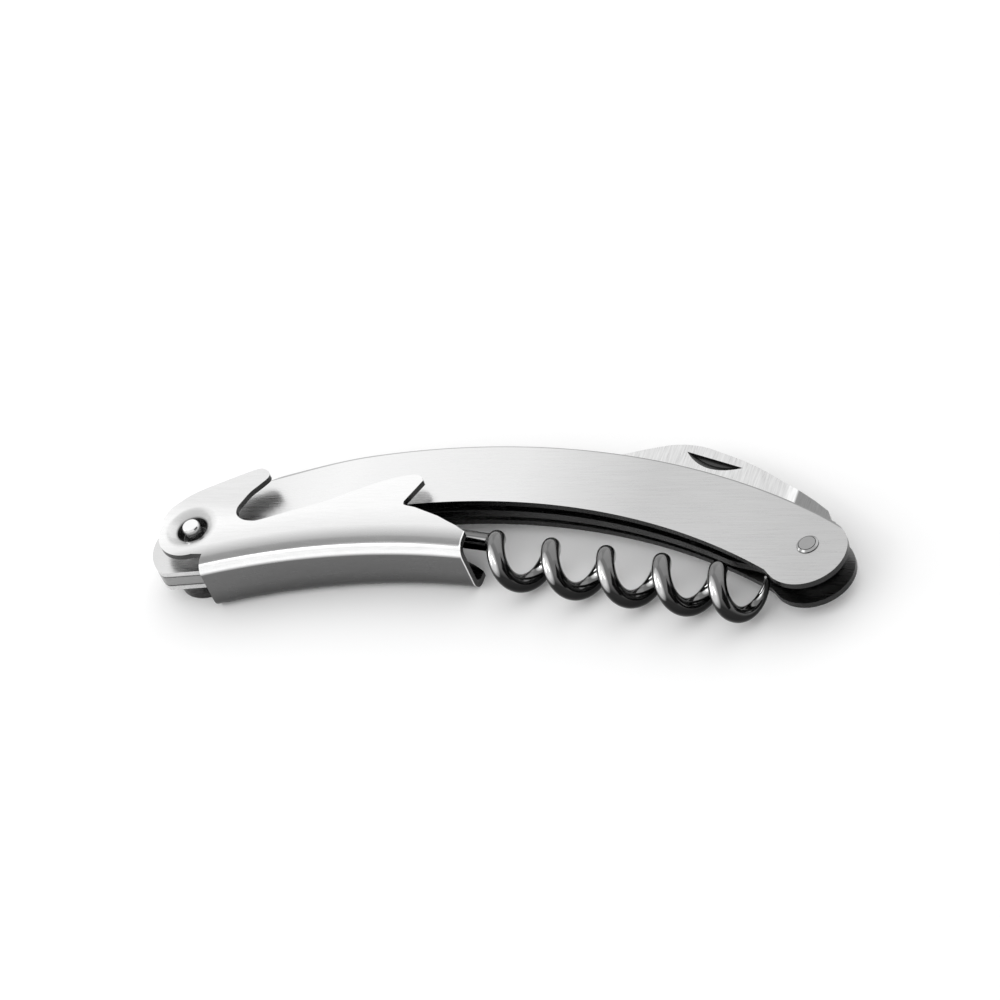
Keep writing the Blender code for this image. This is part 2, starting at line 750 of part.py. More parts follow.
def wire_path():
    """Centre points and radii of the wire, from the eye to the tip."""
    slope = coil_slope()
    along = Vector((cos(slope), sin(slope), 0.0))
    across = Vector((-sin(slope), cos(slope), 0.0))
    pin = Vector((WORM_PIN_X, WORM_PIN_Y, 0.0))
    start = coil_start()
    end = WORM_LENGTH - start
    runs = [(EYE_RADIUS * 0.75 - start) * (1 - k / 4) for k in range(4)]
    steps = int(end / COIL_PITCH * TURN_STEPS)
    runs += [end * k / steps for k in range(steps + 1)]
    points, radii = [], []
    for run in runs:
        left = (end - run) / COIL_PITCH
        taper = max(0.0, 1 - left / TIP_TURNS)
        radius = COIL_RADIUS - COIL_TIP_DRAW * taper
        phase = coil_phase(run)
        offset = across * (radius * cos(phase) - COIL_RADIUS) + Vector((0.0, 0.0, radius * sin(phase)))
        points.append(pin + along * (start + run) + offset)
        radii.append(WIRE_RADIUS + (COIL_TIP_RADIUS - WIRE_RADIUS) * taper**1.3)
    return points, radii


def tube(points, radii, sides):
    """A round tube through the points, its rings carried along without twist."""
    sections = []
    guide = Vector((0.0, 0.0, 1.0))
    for k, (point, radius) in enumerate(zip(points, radii)):
        ahead = points[min(k + 1, len(points) - 1)] - points[max(k - 1, 0)]
        ahead.normalize()
        guide = (guide - ahead * guide.dot(ahead)).normalized()
        other = ahead.cross(guide)
        ring = []
        for j in range(sides):
            angle = 2 * pi * j / sides
            ring.append(tuple(point + radius * (cos(angle) * guide + sin(angle) * other)))
        sections.append(ring)
    return loft(sections)


def worm(material):
    """The wire with a flat round eye joined on, and the pin's hole through it."""
    centre = (WORM_PIN_X, WORM_PIN_Y)
    half = EYE_THICKNESS / 2
    points, radii = wire_path()
    wire = finish_object("worm", tube(points, radii, WIRE_SIDES), material, centre)
    eye = helper("worm_eye", turned([(EYE_RADIUS, -half), (EYE_RADIUS, half)], centre), material)
    combine(wire, "UNION", eye)
    hole = WORM_PIN_RADIUS + PIVOT_FIT
    reach = half + CUT_OVERRUN
    combine(wire, "DIFFERENCE", helper("eye_hole", turned([(hole, -reach), (hole, reach)], centre), material))
    return wire


def set_down():
    """Moves everything so that the origin is at the bottom centre of the pieces' box."""
    bpy.context.view_layer.update()
    graph = bpy.context.evaluated_depsgraph_get()
    low = Vector((1.0, 1.0, 1.0)) * CAMBER_RADIUS * 9
    high = -low
    for obj in bpy.data.objects:
        if obj.hide_render:
            continue
        shape = obj.evaluated_get(graph)
        for corner in shape.bound_box:
            place = shape.matrix_world @ Vector(corner)
            low = Vector(map(min, low, place))
            high = Vector(map(max, high, place))
    shift = Vector((-(low.x + high.x) / 2, -(low.y + high.y) / 2, -low.z))
    for obj in bpy.data.objects:
        obj.location = obj.location + shift
    print("drawing origin at", tuple(round(value, 6) for value in shift))
    print("box", tuple(round(value, 6) for value in high - low))


def build():
    clear_scene()
    brushed = steel("brushed_steel", (0.62, 0.62, 0.63), 0.34)
    lever_finish = steel("satin_steel", (0.68, 0.68, 0.69), 0.3)
    polished = steel("polished_steel", (0.72, 0.72, 0.73), 0.12)
    ground = steel("ground_steel", (0.55, 0.55, 0.56), 0.4)
    body_plate("front_plate", 1, brushed)
    body_plate("back_plate", -1, brushed)
    nose_spacer(ground)
    back_spring(polished)
    spring_dowels(ground)
    lever(lever_finish)
    lever_rivet(polished)
    worm(polished)
    headed_pin(
        "worm_pin",
        (WORM_PIN_X, WORM_PIN_Y),
        WORM_PIN_RADIUS,
        WORM_PIN_HEAD_RADIUS,
        WORM_PIN_HEAD_HEIGHT,
        polished,
    )
    blade(ground)
    blade_washers(polished)
    headed_pin(
        "blade_rivet",
        (BLADE_PIVOT_X, BLADE_PIVOT_Y),
        BLADE_RIVET_RADIUS,
        BLADE_HEAD_RADIUS,
        BLADE_HEAD_HEIGHT,
        polished,
    )
    set_down()


build()
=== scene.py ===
"""Looks of the folded all-steel wine opener.

The visible pieces are drawn again here by the same rules as their solids, with finer steps,
softened edges and finished surfaces whose colours carry painted light and shade. The side view is
drawn in X and Y with the nose's centre at (0, 0), and it is placed so that the lever's pivot stands
where the frame has it. Lengths are in metres.
"""

import json
from math import asin, atan2, cos, hypot, pi, radians, sin, sqrt, tan

import bmesh
import bpy
from mathutils import Matrix, Vector

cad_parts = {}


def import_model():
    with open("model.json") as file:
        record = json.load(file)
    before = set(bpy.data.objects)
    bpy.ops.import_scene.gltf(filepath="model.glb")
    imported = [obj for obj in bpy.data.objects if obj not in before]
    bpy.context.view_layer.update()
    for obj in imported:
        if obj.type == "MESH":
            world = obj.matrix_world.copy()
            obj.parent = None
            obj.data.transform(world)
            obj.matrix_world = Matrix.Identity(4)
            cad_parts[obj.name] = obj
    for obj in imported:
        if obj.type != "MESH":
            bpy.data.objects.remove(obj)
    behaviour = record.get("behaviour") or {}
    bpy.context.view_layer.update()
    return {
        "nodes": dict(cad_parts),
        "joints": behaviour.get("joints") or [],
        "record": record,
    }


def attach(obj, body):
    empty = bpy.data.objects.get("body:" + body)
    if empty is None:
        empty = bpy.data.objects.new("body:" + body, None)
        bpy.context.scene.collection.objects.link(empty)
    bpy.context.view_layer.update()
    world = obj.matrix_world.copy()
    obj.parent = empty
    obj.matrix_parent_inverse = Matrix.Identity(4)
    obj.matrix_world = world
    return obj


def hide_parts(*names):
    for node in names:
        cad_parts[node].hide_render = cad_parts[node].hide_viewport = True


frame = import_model()

# Sheets, gaps and fits
PLATE_SHEET = 0.00095
PLATE_GAP = 0.0032
LEVER_SHEET = 0.00095
LEVER_WIDTH = 0.00974
PIVOT_FIT = 0.00006
FACE_GAP = 0.00008
CUT_OVERRUN = 0.001

# Body: a band of steady width along an arc, with a round nose, a lobe and a round tail
LEVER_PIVOT = (0.0, 0.0007)
BLADE_PIVOT_X = 0.0999
CAMBER_RADIUS = 0.108
CAMBER_APEX_X = 0.045
CAMBER_APEX_Y = 0.01365
BAND_WIDTH = 0.011
BAND_TAIL_GAIN = 0.0011
BAND_NOSE_GAIN = 0.0008
NOSE_RADIUS = 0.0071
NOSE_FLAT_Y = -0.0060
NOSE_FLAT_START = -0.0035
NOSE_FLAT_RISE = 0.1
NOSE_FLAT_FILLET = 0.0015
NOSE_FLAT_END = 0.0058
NOSE_NECK_SLOPE = 2.2
SHOULDER_X = 0.009
TAIL_RADIUS = 0.0063
TAIL_DROP = 0.0013
LOBE_RADIUS = 0.0043
BAND_FILLET = 0.0016

# The plates draw together towards the nose, to this outer thickness
NOSE_THICKNESS = 0.0037
PINCH_START = 0.024
PINCH_END = 0.0075

# Blade, whose pivot stands a little above the band's centre line
BLADE_PIVOT_RISE = 0.0011
BAND_CENTRE_Y = CAMBER_APEX_Y - CAMBER_RADIUS
BLADE_PIVOT_RUN = BLADE_PIVOT_X - CAMBER_APEX_X
BLADE_PIVOT_Y = BAND_CENTRE_Y + sqrt(CAMBER_RADIUS**2 - BLADE_PIVOT_RUN**2) + BLADE_PIVOT_RISE
BLADE_THICKNESS = 0.0013
BLADE_LENGTH = 0.0441
BLADE_DEPTH = 0.0215
EDGE_THICKNESS = 0.00035
GRIND_WIDTH = 0.0030
GRIND_RUN_OUT = 0.0016
TIP_BLUNTNESS = 0.0003
BLADE_STEPS = 150
TANG_RADIUS = 0.0041
TANG_FRONT_ANGLE = radians(38)
TANG_HEEL_ANGLE = radians(10)
NICK_LENGTH = 0.0104
NICK_WIDTH = 0.0018
NICK_DEPTH = 0.00045
NICK_STEPS = 24
NICK_BELOW_BACK = 0.00178
NICK_X_SHARE = 0.462
NICK_FLOOR_SHARES = (0.7, 0.4)
NICK_MOUTH_SHARES = (1.3, 1.6)
NICK_LIFT_SHARE = 0.1
BLADE_RIVET_RADIUS = 0.0011
BLADE_HEAD_RADIUS = 0.0017
BLADE_HEAD_HEIGHT = 0.0003
HEAD_TAPER = 0.0004

# Shares of BLADE_LENGTH back from the blade's pivot and of BLADE_DEPTH up from it
TIP_SHARES = (0.950, 0.750)
BLADE_BACK_SHARES = (
    (0.945, 0.770),
    (0.880, 0.850),
    (0.805, 0.905),
    (0.700, 0.963),
    (0.624, 0.992),
    (0.553, 0.984),
    (0.500, 0.958),
    (0.436, 0.907),
    (0.370, 0.852),
    (0.295, 0.778),
    (0.206, 0.670),
    (0.123, 0.570),
    (0.049, 0.470),
)
BLADE_BUTT_SHARES = ((-0.009, 0.380), (-0.022, 0.326), (-0.040, 0.250))
BLADE_EDGE_SHARES = (
    (0.900, 0.680),
    (0.780, 0.625),
    (0.620, 0.540),
    (0.450, 0.425),
    (0.300, 0.300),
    (0.190, 0.215),
)

# Back spring between the plates, along the concave edge, and its two dowels
SPRING_THICKNESS = 0.0012
SPRING_HEIGHT = 0.0028
SPRING_PROUD = 0.00022
TANG_CLEARANCE = 0.0002
SPRING_RELIEF = 0.0013
RELIEF_START_X = 0.0870
RELIEF_FULL_X = 0.0935
SPRING_START_X = 0.0316
SPRING_END_X = 0.0970
SPRING_STEPS = 90
DOWEL_RADIUS = 0.00075
DOWEL_SEAT = 0.0005
DOWEL_PLACE_SHARES = (0.25, 0.75)

# Lever: a folded channel whose walls carry the ears, the cap hook and the fin
LEVER_LENGTH = 0.0460
LEVER_HEIGHT = 0.0127
SPINE_START_X = 0.0037
SPINE_APEX_X = 0.0341
SPINE_APEX_Y = -0.00279
SPINE_RADIUS = 0.1063
BEND_RADIUS = 0.0021
BEND_STEPS = 10
SPINE_STEPS = 70
EAR_RADIUS = 0.0050
EAR_FOOT_ANGLE = radians(-68)
EAR_BACK_ANGLE = radians(-192)
EAR_STEPS = 40
CHANNEL_START_SHARE = 1.3

# Shares of LEVER_LENGTH and LEVER_HEIGHT from the lever's pivot, round the top of a wall
HOOK_SHARES = (
    (-0.1160, 0.205),
    (-0.1045, 0.340),
    (-0.0740, 0.482),
    (-0.0300, 0.622),
    (0.0700, 0.830),
    (0.1541, 0.985),
    (0.1839, 0.983),
    (0.2050, 0.920),
    (0.2070, 0.850),
)
MOUTH_SHARES = (
    (0.1865, 0.734),
    (0.1643, 0.620),
    (0.1500, 0.490),
    (0.1400, 0.370),
    (0.1480, 0.260),
    (0.1750, 0.185),
    (0.2080, 0.163),
    (0.2417, 0.180),
)
FIN_SHARES = (
    (0.3304, 0.307),
    (0.3928, 0.392),
    (0.4550, 0.480),
    (0.5146, 0.591),
    (0.5898, 0.727),
    (0.6493, 0.818),
    (0.6980, 0.872),
    (0.7400, 0.897),
    (0.7667, 0.863),
    (0.7790, 0.800),
)
NOTCH_SHARES = ((0.7400, 0.478), (0.7420, 0.425), (0.7600, 0.403))
TAIL_SHARES = ((0.7878, 0.379), (0.8824, 0.243), (0.9241, 0.161), (0.9600, 0.095))

# Dished dimples round the lever's rivet, and shares that round their flanks
DISH_RADIUS = 0.0043
WELL_RADIUS = 0.0024
WELL_FLOOR_RADIUS = 0.0019
DISH_DEPTH = 0.0006
DISH_FOOT_SHARES = (1.25, 0.55)
DISH_BROW_SHARES = (0.82, 0.12)
LUMP_FOOT_SHARES = (0.6, 0.3)

# Lever's rivet
PIVOT_RADIUS = 0.0011
PIVOT_HEAD_RADIUS = 0.0014
PIVOT_HEAD_PROUD = 0.0005
PIVOT_TAIL_RECESS = 0.0007
PIVOT_NECK_RADIUS = 0.0012

# Worm: a straight shank in line with a coil, and a round eye on its pin
WORM_PIN_X = 0.0285
WORM_PIN_Y = 0.00515
WORM_PIN_RADIUS = 0.0010
EYE_RADIUS = 0.0030
EYE_THICKNESS = 0.0026
WIRE_RADIUS = 0.00138
COIL_RADIUS = 0.0030
COIL_PITCH = 0.0094
TIP_CLEARANCE = 0.0007
WORM_LENGTH = 0.0673
COIL_CLEARANCE = 0.0019
COIL_LEAD = 0.0026
COIL_TIP_RADIUS = 0.00018
COIL_TIP_DRAW = 0.0001
TIP_TURNS = 0.5
TIP_CLOSING = radians(60)
TAPER_POWER = 1.3
SHANK_START_SHARE = 0.75
SHANK_STEPS = 4
SLOPE_ROUNDS = 6
TURN_STEPS = 72
WIRE_SIDES = 32

# Steps of round and smooth runs, and how far in the end stations stand, as a share of a step
ROUND_STEPS = 72
NOSE_STEPS = 56
BAND_STEPS = 220
SMOOTH_STEPS = 12
END_STEP_SHARE = 0.35

# Softened edges, and the largest upward part of a cut edge's normal
PLATE_SOFTNESS = 0.00012
STRIP_SOFTNESS = 0.00010
HEAD_SOFTNESS = 0.00009
THIN_SOFTNESS = 0.00006
BEVEL_SEGMENTS = 2
BEVEL_ANGLE = radians(35)
SHARP_ANGLE = radians(28)
BLADE_SHARP_ANGLE = radians(5)
EDGE_NORMAL_LIMIT = 0.5

# Camera fitted to the photograph: its place from the drawing's origin, its right and its up
CAMERA_OFFSET = Vector((0.41252, -0.50234, 0.56722))
CAMERA_RIGHT = Vector((0.902, 0.2896, -0.3199))
CAMERA_UP = Vector((0.0, 0.7416, 0.6707))
LENS_MM = 205.2
SENSOR_MM = 36.0
CLIP_NEAR = 0.05
CLIP_FAR = 50.0

# Floor and cards
FLOOR_SIZE = 6.0
FLOOR_COLOUR = 0.95
MATT_ROUGHNESS = 0.9

# Grain that every steel shares: the noise between these values swings the finish
GRAIN_LOW, GRAIN_HIGH = 0.3, 0.7
GRAIN_DEPTH = 0.00002
GRAIN_DETAIL = 4.0

# Plates: painted light, grey by X; the two bounds in from the convex edge of a thin rim of painted dark
# reflection; and painted shade on the inner faces
PLATE_PAINTED_LIGHT_STOPS = (
    (-0.006, 0.58),
    (0.0, 0.64),
    (0.022, 0.73),
    (0.050, 0.69),
    (0.072, 0.53),
    (0.088, 0.54),
    (0.100, 0.50),
)
PAINTED_RIM_INSETS = (0.0002, 0.0001)
PAINTED_RIM_SHADE = 0.55
INNER_FACE_BOUNDS = (0.00002, 0.00015)
INNER_FACE_PAINTED_SHADE = 0.3

# Cut edges: painted light by X, light round the nose and a painted dark reflection beyond it, and painted
# shade in the seam beside the spacer
EDGE_PAINTED_LIGHT_STOPS = ((0.0020, 0.62), (0.0050, 0.04))
SEAM_INSET = 0.0007
SEAM_PAINTED_SHADE = 0.1

# Lever: painted light by a weighted sum of the rise over the spine and the height, from the spine to the
# wall: a painted dark reflection on the spine, a painted highlight on the bend, and painted shade above
# it that lightens up the wall
ACROSS_WEIGHTS = (0.742, 0.671)
LEVER_PAINTED_LIGHT_STOPS = (
    (0.0, 0.152),
    (0.0018, 0.152),
    (0.0022, 0.92),
    (0.00345, 0.92),
    (0.00365, 0.27),
    (0.00467, 0.32),
    (0.00644, 0.66),
    (0.0091, 0.74),
    (0.0140, 0.76),
)
WALL_BLEND = 0.0002
# Painted shade on the faces inside the channel, from these rises over the spine
CHANNEL_RISES = (0.0004, 0.0006)
CHANNEL_PAINTED_SHADE = 0.12

# Lever: painted shade by the distance from its pivot, in the dimple
WELL_PAINTED_SHADE_STOPS = (
    (0.0, 0.12),
    (0.0017, 0.12),
    (0.0019, 0.50),
    (0.0022, 0.50),
    (0.0024, 0.15),
    (0.0027, 0.72),
    (0.0043, 1.0),
)

# Lever: bounds in X, Y, Z or rise over which a region of painted light comes or goes, with its painted
# shade; at the lever's end it is a painted highlight
LOW_HEIGHTS = (-0.0040, -0.0008)
LOW_PAINTED_SHADE = 0.55
FIN_RISES = (0.0045, 0.0070)
FIN_PLACES = (0.012, 0.016)
FIN_INNER_PAINTED_SHADE = 0.9
EAR_PLACES = (0.002, 0.005)
EAR_INNER_PAINTED_SHADE = 0.5
HOOK_HEIGHTS = (0.002, 0.006)
HOOK_PLACES = (0.009, 0.013)
HOOK_PAINTED_SHADE = 0.82
LIP_INSETS = (0.0003, 0.0002)
LIP_PAINTED_HIGHLIGHT = 0.8

# Worm: painted shade by how far up it faces, and a painted highlight on the flank towards one direction
FACING_WEIGHTS = (0.0, 0.55, 0.8)
WORM_PAINTED_SHADE_STOPS = ((-0.9, 0.015), (-0.1, 0.025), (0.20, 0.13), (0.9, 0.17))
FLANK_DIRECTION = (-0.20, -0.66, 0.724)
FLANK_BOUNDS = (0.86, 0.96)
FLANK_PAINTED_HIGHLIGHT = 0.55

# Blade: painted light, grey by X, with a painted highlight on the step before the ricasso and darker past
# it
BLADE_PAINTED_LIGHT_STOPS = (
    (0.0, 0.75),
    (0.0922, 0.65),
    (0.0936, 0.88),
    (0.0943, 0.90),
    (0.0946, 0.245),
    (0.1010, 0.265),
)

# Where the frame has the lever's pivot, and the drawing's origin from it
LEVER_HINGE = next(joint for joint in frame["joints"] if joint["name"] == "lever_hinge")
PIVOT_PLACE = Vector(LEVER_HINGE["pos_m"])
DRAWING_PLACE = PIVOT_PLACE - Vector((*LEVER_PIVOT, 0.0))


def solid(name, bm):
    """An object of the mesh, standing where the drawing's origin is in the frame."""
    bmesh.ops.recalc_face_normals(bm, faces=bm.faces)
    mesh = bpy.data.meshes.new(name)
    bm.to_mesh(mesh)
    bm.free()
    obj = bpy.data.objects.new(name, mesh)
    obj.location = DRAWING_PLACE
    bpy.context.collection.objects.link(obj)
    return obj


def faced(finish, obj):
    """The solid with a finish that its faces keep through later cuts."""
    obj.data.materials.append(STEELS[finish])
    return obj


def combine(obj, operation, other):
    """Cuts, joins or trims obj with another solid, which is then gone."""
    modifier = obj.modifiers.new("cut", "BOOLEAN")
    modifier.operation = operation
    modifier.object = other
    modifier.solver = "EXACT"
    modifier.material_mode = "TRANSFER"
    graph = bpy.context.evaluated_depsgraph_get()
    mesh = bpy.data.meshes.new_from_object(obj.evaluated_get(graph))
    obj.modifiers.clear()
    obj.data = mesh
    bpy.data.objects.remove(other, do_unlink=True)


def dress(obj, node, body, slot, softness, finish=None, cut_edges=False, sharp=SHARP_ANGLE):
    """Softens and finishes the piece, and lets it stand for a solid of the frame."""
    mesh = obj.data
    mesh.shade_smooth()
    mesh.set_sharp_from_angle(angle=sharp)
    edges = obj.modifiers.new("edges", "BEVEL")
    edges.width = softness
    edges.segments = BEVEL_SEGMENTS
    edges.limit_method = "ANGLE"
    edges.angle_limit = BEVEL_ANGLE
    edges.harden_normals = True
    edges.use_clamp_overlap = True
    if not mesh.materials:
        mesh.materials.append(None)
    mesh.materials[0] = STEELS[finish or slot]
    if cut_edges:
        mesh.materials.append(STEELS["edge_steel"])
        for face in mesh.polygons:
            face.material_index = 1 if abs(face.normal.z) < EDGE_NORMAL_LIMIT else 0
    edges.material = len(mesh.materials) - 1
    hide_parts(node)
    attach(obj, body)


def loft(sections):
    """A closed solid through rings of points, each ring with the same count."""
    bm = bmesh.new()
    rings = [[bm.verts.new(point) for point in section] for section in sections]
    count = len(rings[0])
    for ring, following in zip(rings, rings[1:]):
        for k in range(count):
            after = (k + 1) % count
            bm.faces.new((ring[k], ring[after], following[after], following[k]))
    bm.faces.new(reversed(rings[0]))
    bm.faces.new(rings[-1])
    return bm


def prism(outline, low, high):
    """A solid between two heights with the same outline."""
    return loft([[(x, y, z) for x, y in outline] for z in (low, high)])


def circle(radius, steps=ROUND_STEPS):
    """Points round a circle about the origin."""
    return [(radius * cos(2 * pi * k / steps), radius * sin(2 * pi * k / steps)) for k in range(steps)]


def turned(profile, centre):
    """A solid turned about the Z axis through centre, from (radius, height) pairs, bottom first."""
    sections = []
    for radius, height in profile:
        sections.append([(centre[0] + x, centre[1] + y, height) for x, y in circle(radius)])
    return loft(sections)


def drill(obj, name, centre, radius, reach):
    """Cuts a round hole through the middle plane, with running clearance round the pin's radius."""
    hole = radius + PIVOT_FIT
    combine(obj, "DIFFERENCE", solid(name, turned([(hole, -reach), (hole, reach)], centre)))


def eased(value, start, end):
    """0 up to start, 1 from end on, with a smooth change between."""
    share = min(1.0, max(0.0, (value - start) / (end - start)))
    return share * share * (3 - 2 * share)


def smooth_through(points, steps=SMOOTH_STEPS):
    """Points of a smooth open curve through the given ones."""
    ends = [points[0]] + list(points) + [points[-1]]
    result = []
    for a, b, c, d in zip(ends, ends[1:], ends[2:], ends[3:]):
        for k in range(steps):
            t = k / steps
            weights = (
                -t / 2 + t * t - t**3 / 2,
                1 - 5 * t * t / 2 + 3 * t**3 / 2,
                t / 2 + 2 * t * t - 3 * t**3 / 2,
                (t**3 - t * t) / 2,
            )
            result.append(tuple(sum(w * p[i] for w, p in zip(weights, (a, b, c, d))) for i in (0, 1)))
    result.append(tuple(points[-1]))
    return result


def scaled(shares, length, height):
    """Points from shares of a length and a height."""
    return [(x * length, y * height) for x, y in shares]


def softer(a, b, width, sign):
    """The larger of a and b for sign 1, the smaller for sign -1, with the corner rounded."""
    share = max(0.0, 1 - abs(a - b) / width)
    larger = max(sign * a, sign * b) + share * share * width / 4
    return sign * larger


def round_height(x, centre_x, radius):
    """Half the height of a circle at x, or None beside it."""
    inside = radius * radius - (x - centre_x) ** 2
    return sqrt(inside) if inside > 0 else None


def camber(x):
    """Height and slope of the band's centre line."""
    run = x - CAMBER_APEX_X
    height = BAND_CENTRE_Y + sqrt(CAMBER_RADIUS**2 - run * run)
    return height, asin(run / CAMBER_RADIUS)


def half_width(x):
    """Half the band's width, which grows towards both ends."""
    side = (x - CAMBER_APEX_X) / BLADE_PIVOT_RUN
    gain = BAND_TAIL_GAIN if side > 0 else BAND_NOSE_GAIN
    return (BAND_WIDTH + gain * side * side) / 2


def band_edge(x, side):
    """Height of the band's upper edge for side 1, of its lower edge for side -1."""
    height, slope = camber(x)
    return height + side * half_width(x) / cos(slope)


def tail_centre():
    """Centre of the round tail, a little below the blade's pivot."""
    return BLADE_PIVOT_X, BLADE_PIVOT_Y - TAIL_DROP


def shoulder(x):
    """The straight run of the upper edge that touches the nose and ends on the band."""
    end_y = band_edge(SHOULDER_X, 1)
    reach = hypot(SHOULDER_X, end_y)
    slope = atan2(end_y, SHOULDER_X) - asin(NOSE_RADIUS / reach)
    touch_x = -NOSE_RADIUS * sin(slope)
    height = end_y + (x - SHOULDER_X) * tan(slope)
    return touch_x, height


def tail_touch(side):
    """Where the band's edge on that side meets the round tail."""
    tail_x = tail_centre()[0]
    return tail_x + side * TAIL_RADIUS * sin(camber(tail_x)[1])


def tail_joined(x, height, side):
    """The band's edge on that side, led into the round tail."""
    tail_x, tail_y = tail_centre()
    rise = round_height(x, tail_x, TAIL_RADIUS)
    if rise is None:
        return height
    if x > tail_touch(side):
        return tail_y + side * rise
    return side * softer(side * height, side * tail_y + rise, BAND_FILLET / 4, 1)


def upper_edge(x):
    """The body's convex side: nose, shoulder, band and tail."""
    touch_x, straight = shoulder(x)
    if x < touch_x:
        return round_height(x, 0.0, NOSE_RADIUS)
    height = softer(band_edge(x, 1), straight, BAND_FILLET / 4, -1)
    return tail_joined(x, height, 1)


def lower_edge(x):
    """The body's concave side: nose, flat, neck, band, the worm pin's lobe and tail."""
    nose = round_height(x, 0.0, NOSE_RADIUS)
    flat = NOSE_FLAT_Y + NOSE_FLAT_RISE * (x - NOSE_FLAT_START)
    neck = flat + max(0.0, x - NOSE_FLAT_END) * NOSE_NECK_SLOPE
    if nose is not None:
        neck = softer(-nose, neck, NOSE_FLAT_FILLET / 4, 1)
    if x < 0:
        return neck
    height = softer(band_edge(x, -1), neck, BAND_FILLET, -1)
    lobe = round_height(x, WORM_PIN_X, LOBE_RADIUS)
    if lobe is not None:
        height = softer(height, WORM_PIN_Y - lobe, BAND_FILLET, -1)
    return tail_joined(x, height, -1)


def body_stations(start, end):
    """X places along the body, closer together round the nose and the tail."""
    tail_x = tail_centre()[0]
    quarter = NOSE_STEPS // 2
    places = [-NOSE_RADIUS * cos(pi * (k + END_STEP_SHARE) / NOSE_STEPS) for k in range(quarter)]
    span = tail_x - places[-1]
    places += [places[-1] + span * k / BAND_STEPS for k in range(1, BAND_STEPS)]
    places += [tail_x + TAIL_RADIUS * sin(pi * k / NOSE_STEPS) for k in range(quarter)]
    places += [tail_x + TAIL_RADIUS * cos(pi * END_STEP_SHARE / NOSE_STEPS)]
    return [x for x in places if start <= x <= end]


def pinch(x):
    """How far the plates are drawn in at x."""
    full = PLATE_GAP / 2 + PLATE_SHEET - NOSE_THICKNESS / 2
    return full * eased(x, PINCH_START, PINCH_END)


def plate_face():
    """Height of a plate's outer face over the middle, away from the nose."""
    return PLATE_GAP / 2 + PLATE_SHEET


def body_plate(name, side):
    """The front plate for side 1, the back plate for side -1."""
    sections = []
    for x in body_stations(-NOSE_RADIUS, BLADE_PIVOT_X + TAIL_RADIUS):
        inner = side * (PLATE_GAP / 2 - pinch(x))
        outer = side * (plate_face() - pinch(x))
        low, high = lower_edge(x), upper_edge(x)
        sections.append([(x, low, inner), (x, high, inner), (x, high, outer), (x, low, outer)])
    plate = solid(name, loft(sections))
    reach = plate_face() + CUT_OVERRUN
    for centre, radius in (
        (LEVER_PIVOT, PIVOT_RADIUS),
        ((WORM_PIN_X, WORM_PIN_Y), WORM_PIN_RADIUS),
        ((BLADE_PIVOT_X, BLADE_PIVOT_Y), BLADE_RIVET_RADIUS),
    ):
        drill(plate, name + "_hole", centre, radius, reach)
    seat = DOWEL_RADIUS + PIVOT_FIT
    ends = sorted((0.0, side * (PLATE_GAP / 2 + DOWEL_SEAT)))
    for centre in dowel_centres():
        combine(plate, "DIFFERENCE", solid(name + "_seat", turned([(seat, z) for z in ends], centre)))
    return plate


def nose_spacer():
    """Fills the space between the plates round the lever's pivot."""
    sections = []
    half = NOSE_THICKNESS / 2 - PLATE_SHEET - FACE_GAP
    for x in body_stations(-NOSE_RADIUS, PINCH_END):
        low, high = lower_edge(x), upper_edge(x)
        sections.append([(x, low, -half), (x, high, -half), (x, high, half), (x, low, half)])
    spacer = solid("nose_spacer", loft(sections))
    drill(spacer, "spacer_hole", LEVER_PIVOT, PIVOT_RADIUS, half + CUT_OVERRUN)
    return spacer


def spring_bounds(x):
    """The spring's lower side, relieved for the worm's tip, and its upper side, clear of the tang."""
    outer = band_edge(x, -1) - SPRING_PROUD
    low = outer + SPRING_RELIEF * eased(x, RELIEF_START_X, RELIEF_FULL_X)
    high = outer + SPRING_HEIGHT
    under_tang = round_height(x, BLADE_PIVOT_X, TANG_RADIUS + TANG_CLEARANCE)
    if under_tang is not None:
        high = min(high, BLADE_PIVOT_Y - under_tang)
    return low, high


def dowel_centres():
    """Where the dowels stand along the middle of the spring."""
    places = []
    for share in DOWEL_PLACE_SHARES:
        x = SPRING_START_X + share * (SPRING_END_X - SPRING_START_X)
        low, high = spring_bounds(x)
        places.append((x, (low + high) / 2))
    return places


def back_spring():
    """The strip between the plates, with its dowels' holes."""
    half = SPRING_THICKNESS / 2
    sections = []
    for k in range(SPRING_STEPS + 1):
        x = SPRING_START_X + (SPRING_END_X - SPRING_START_X) * k / SPRING_STEPS
        low, high = spring_bounds(x)
        sections.append([(x, low, -half), (x, high, -half), (x, high, half), (x, low, half)])
    spring = solid("back_spring", loft(sections))
    for centre in dowel_centres():
        drill(spring, "spring_hole", centre, DOWEL_RADIUS, half + CUT_OVERRUN)
    return spring


def spine_face(x):
    """Height of the spine's outer face."""
    return SPINE_APEX_Y - SPINE_RADIUS + sqrt(SPINE_RADIUS**2 - (x - SPINE_APEX_X) ** 2)


def channel_section(x):
    """The folded section across the lever at x, with legs as high as the lever."""
    half = LEVER_WIDTH / 2
    top = LEVER_HEIGHT + CUT_OVERRUN
    base = spine_face(x)
    corner = []
    for radius, inset in ((BEND_RADIUS, 0.0), (BEND_RADIUS - LEVER_SHEET, LEVER_SHEET)):
        arc = []
        for k in range(BEND_STEPS + 1):
            angle = pi / 2 * k / BEND_STEPS
            z = half - inset - radius + radius * cos(angle)
            y = base + inset + radius - radius * sin(angle)
            arc.append((y, z))
        corner.append(arc)
    outer = [(top, half)] + corner[0]
    inner = [(top, half - LEVER_SHEET)] + corner[1]
    ring = outer + [(y, -z) for y, z in reversed(outer)]
    ring += [(y, -z) for y, z in inner] + list(reversed(inner))
    return [(x, y, z) for y, z in ring]


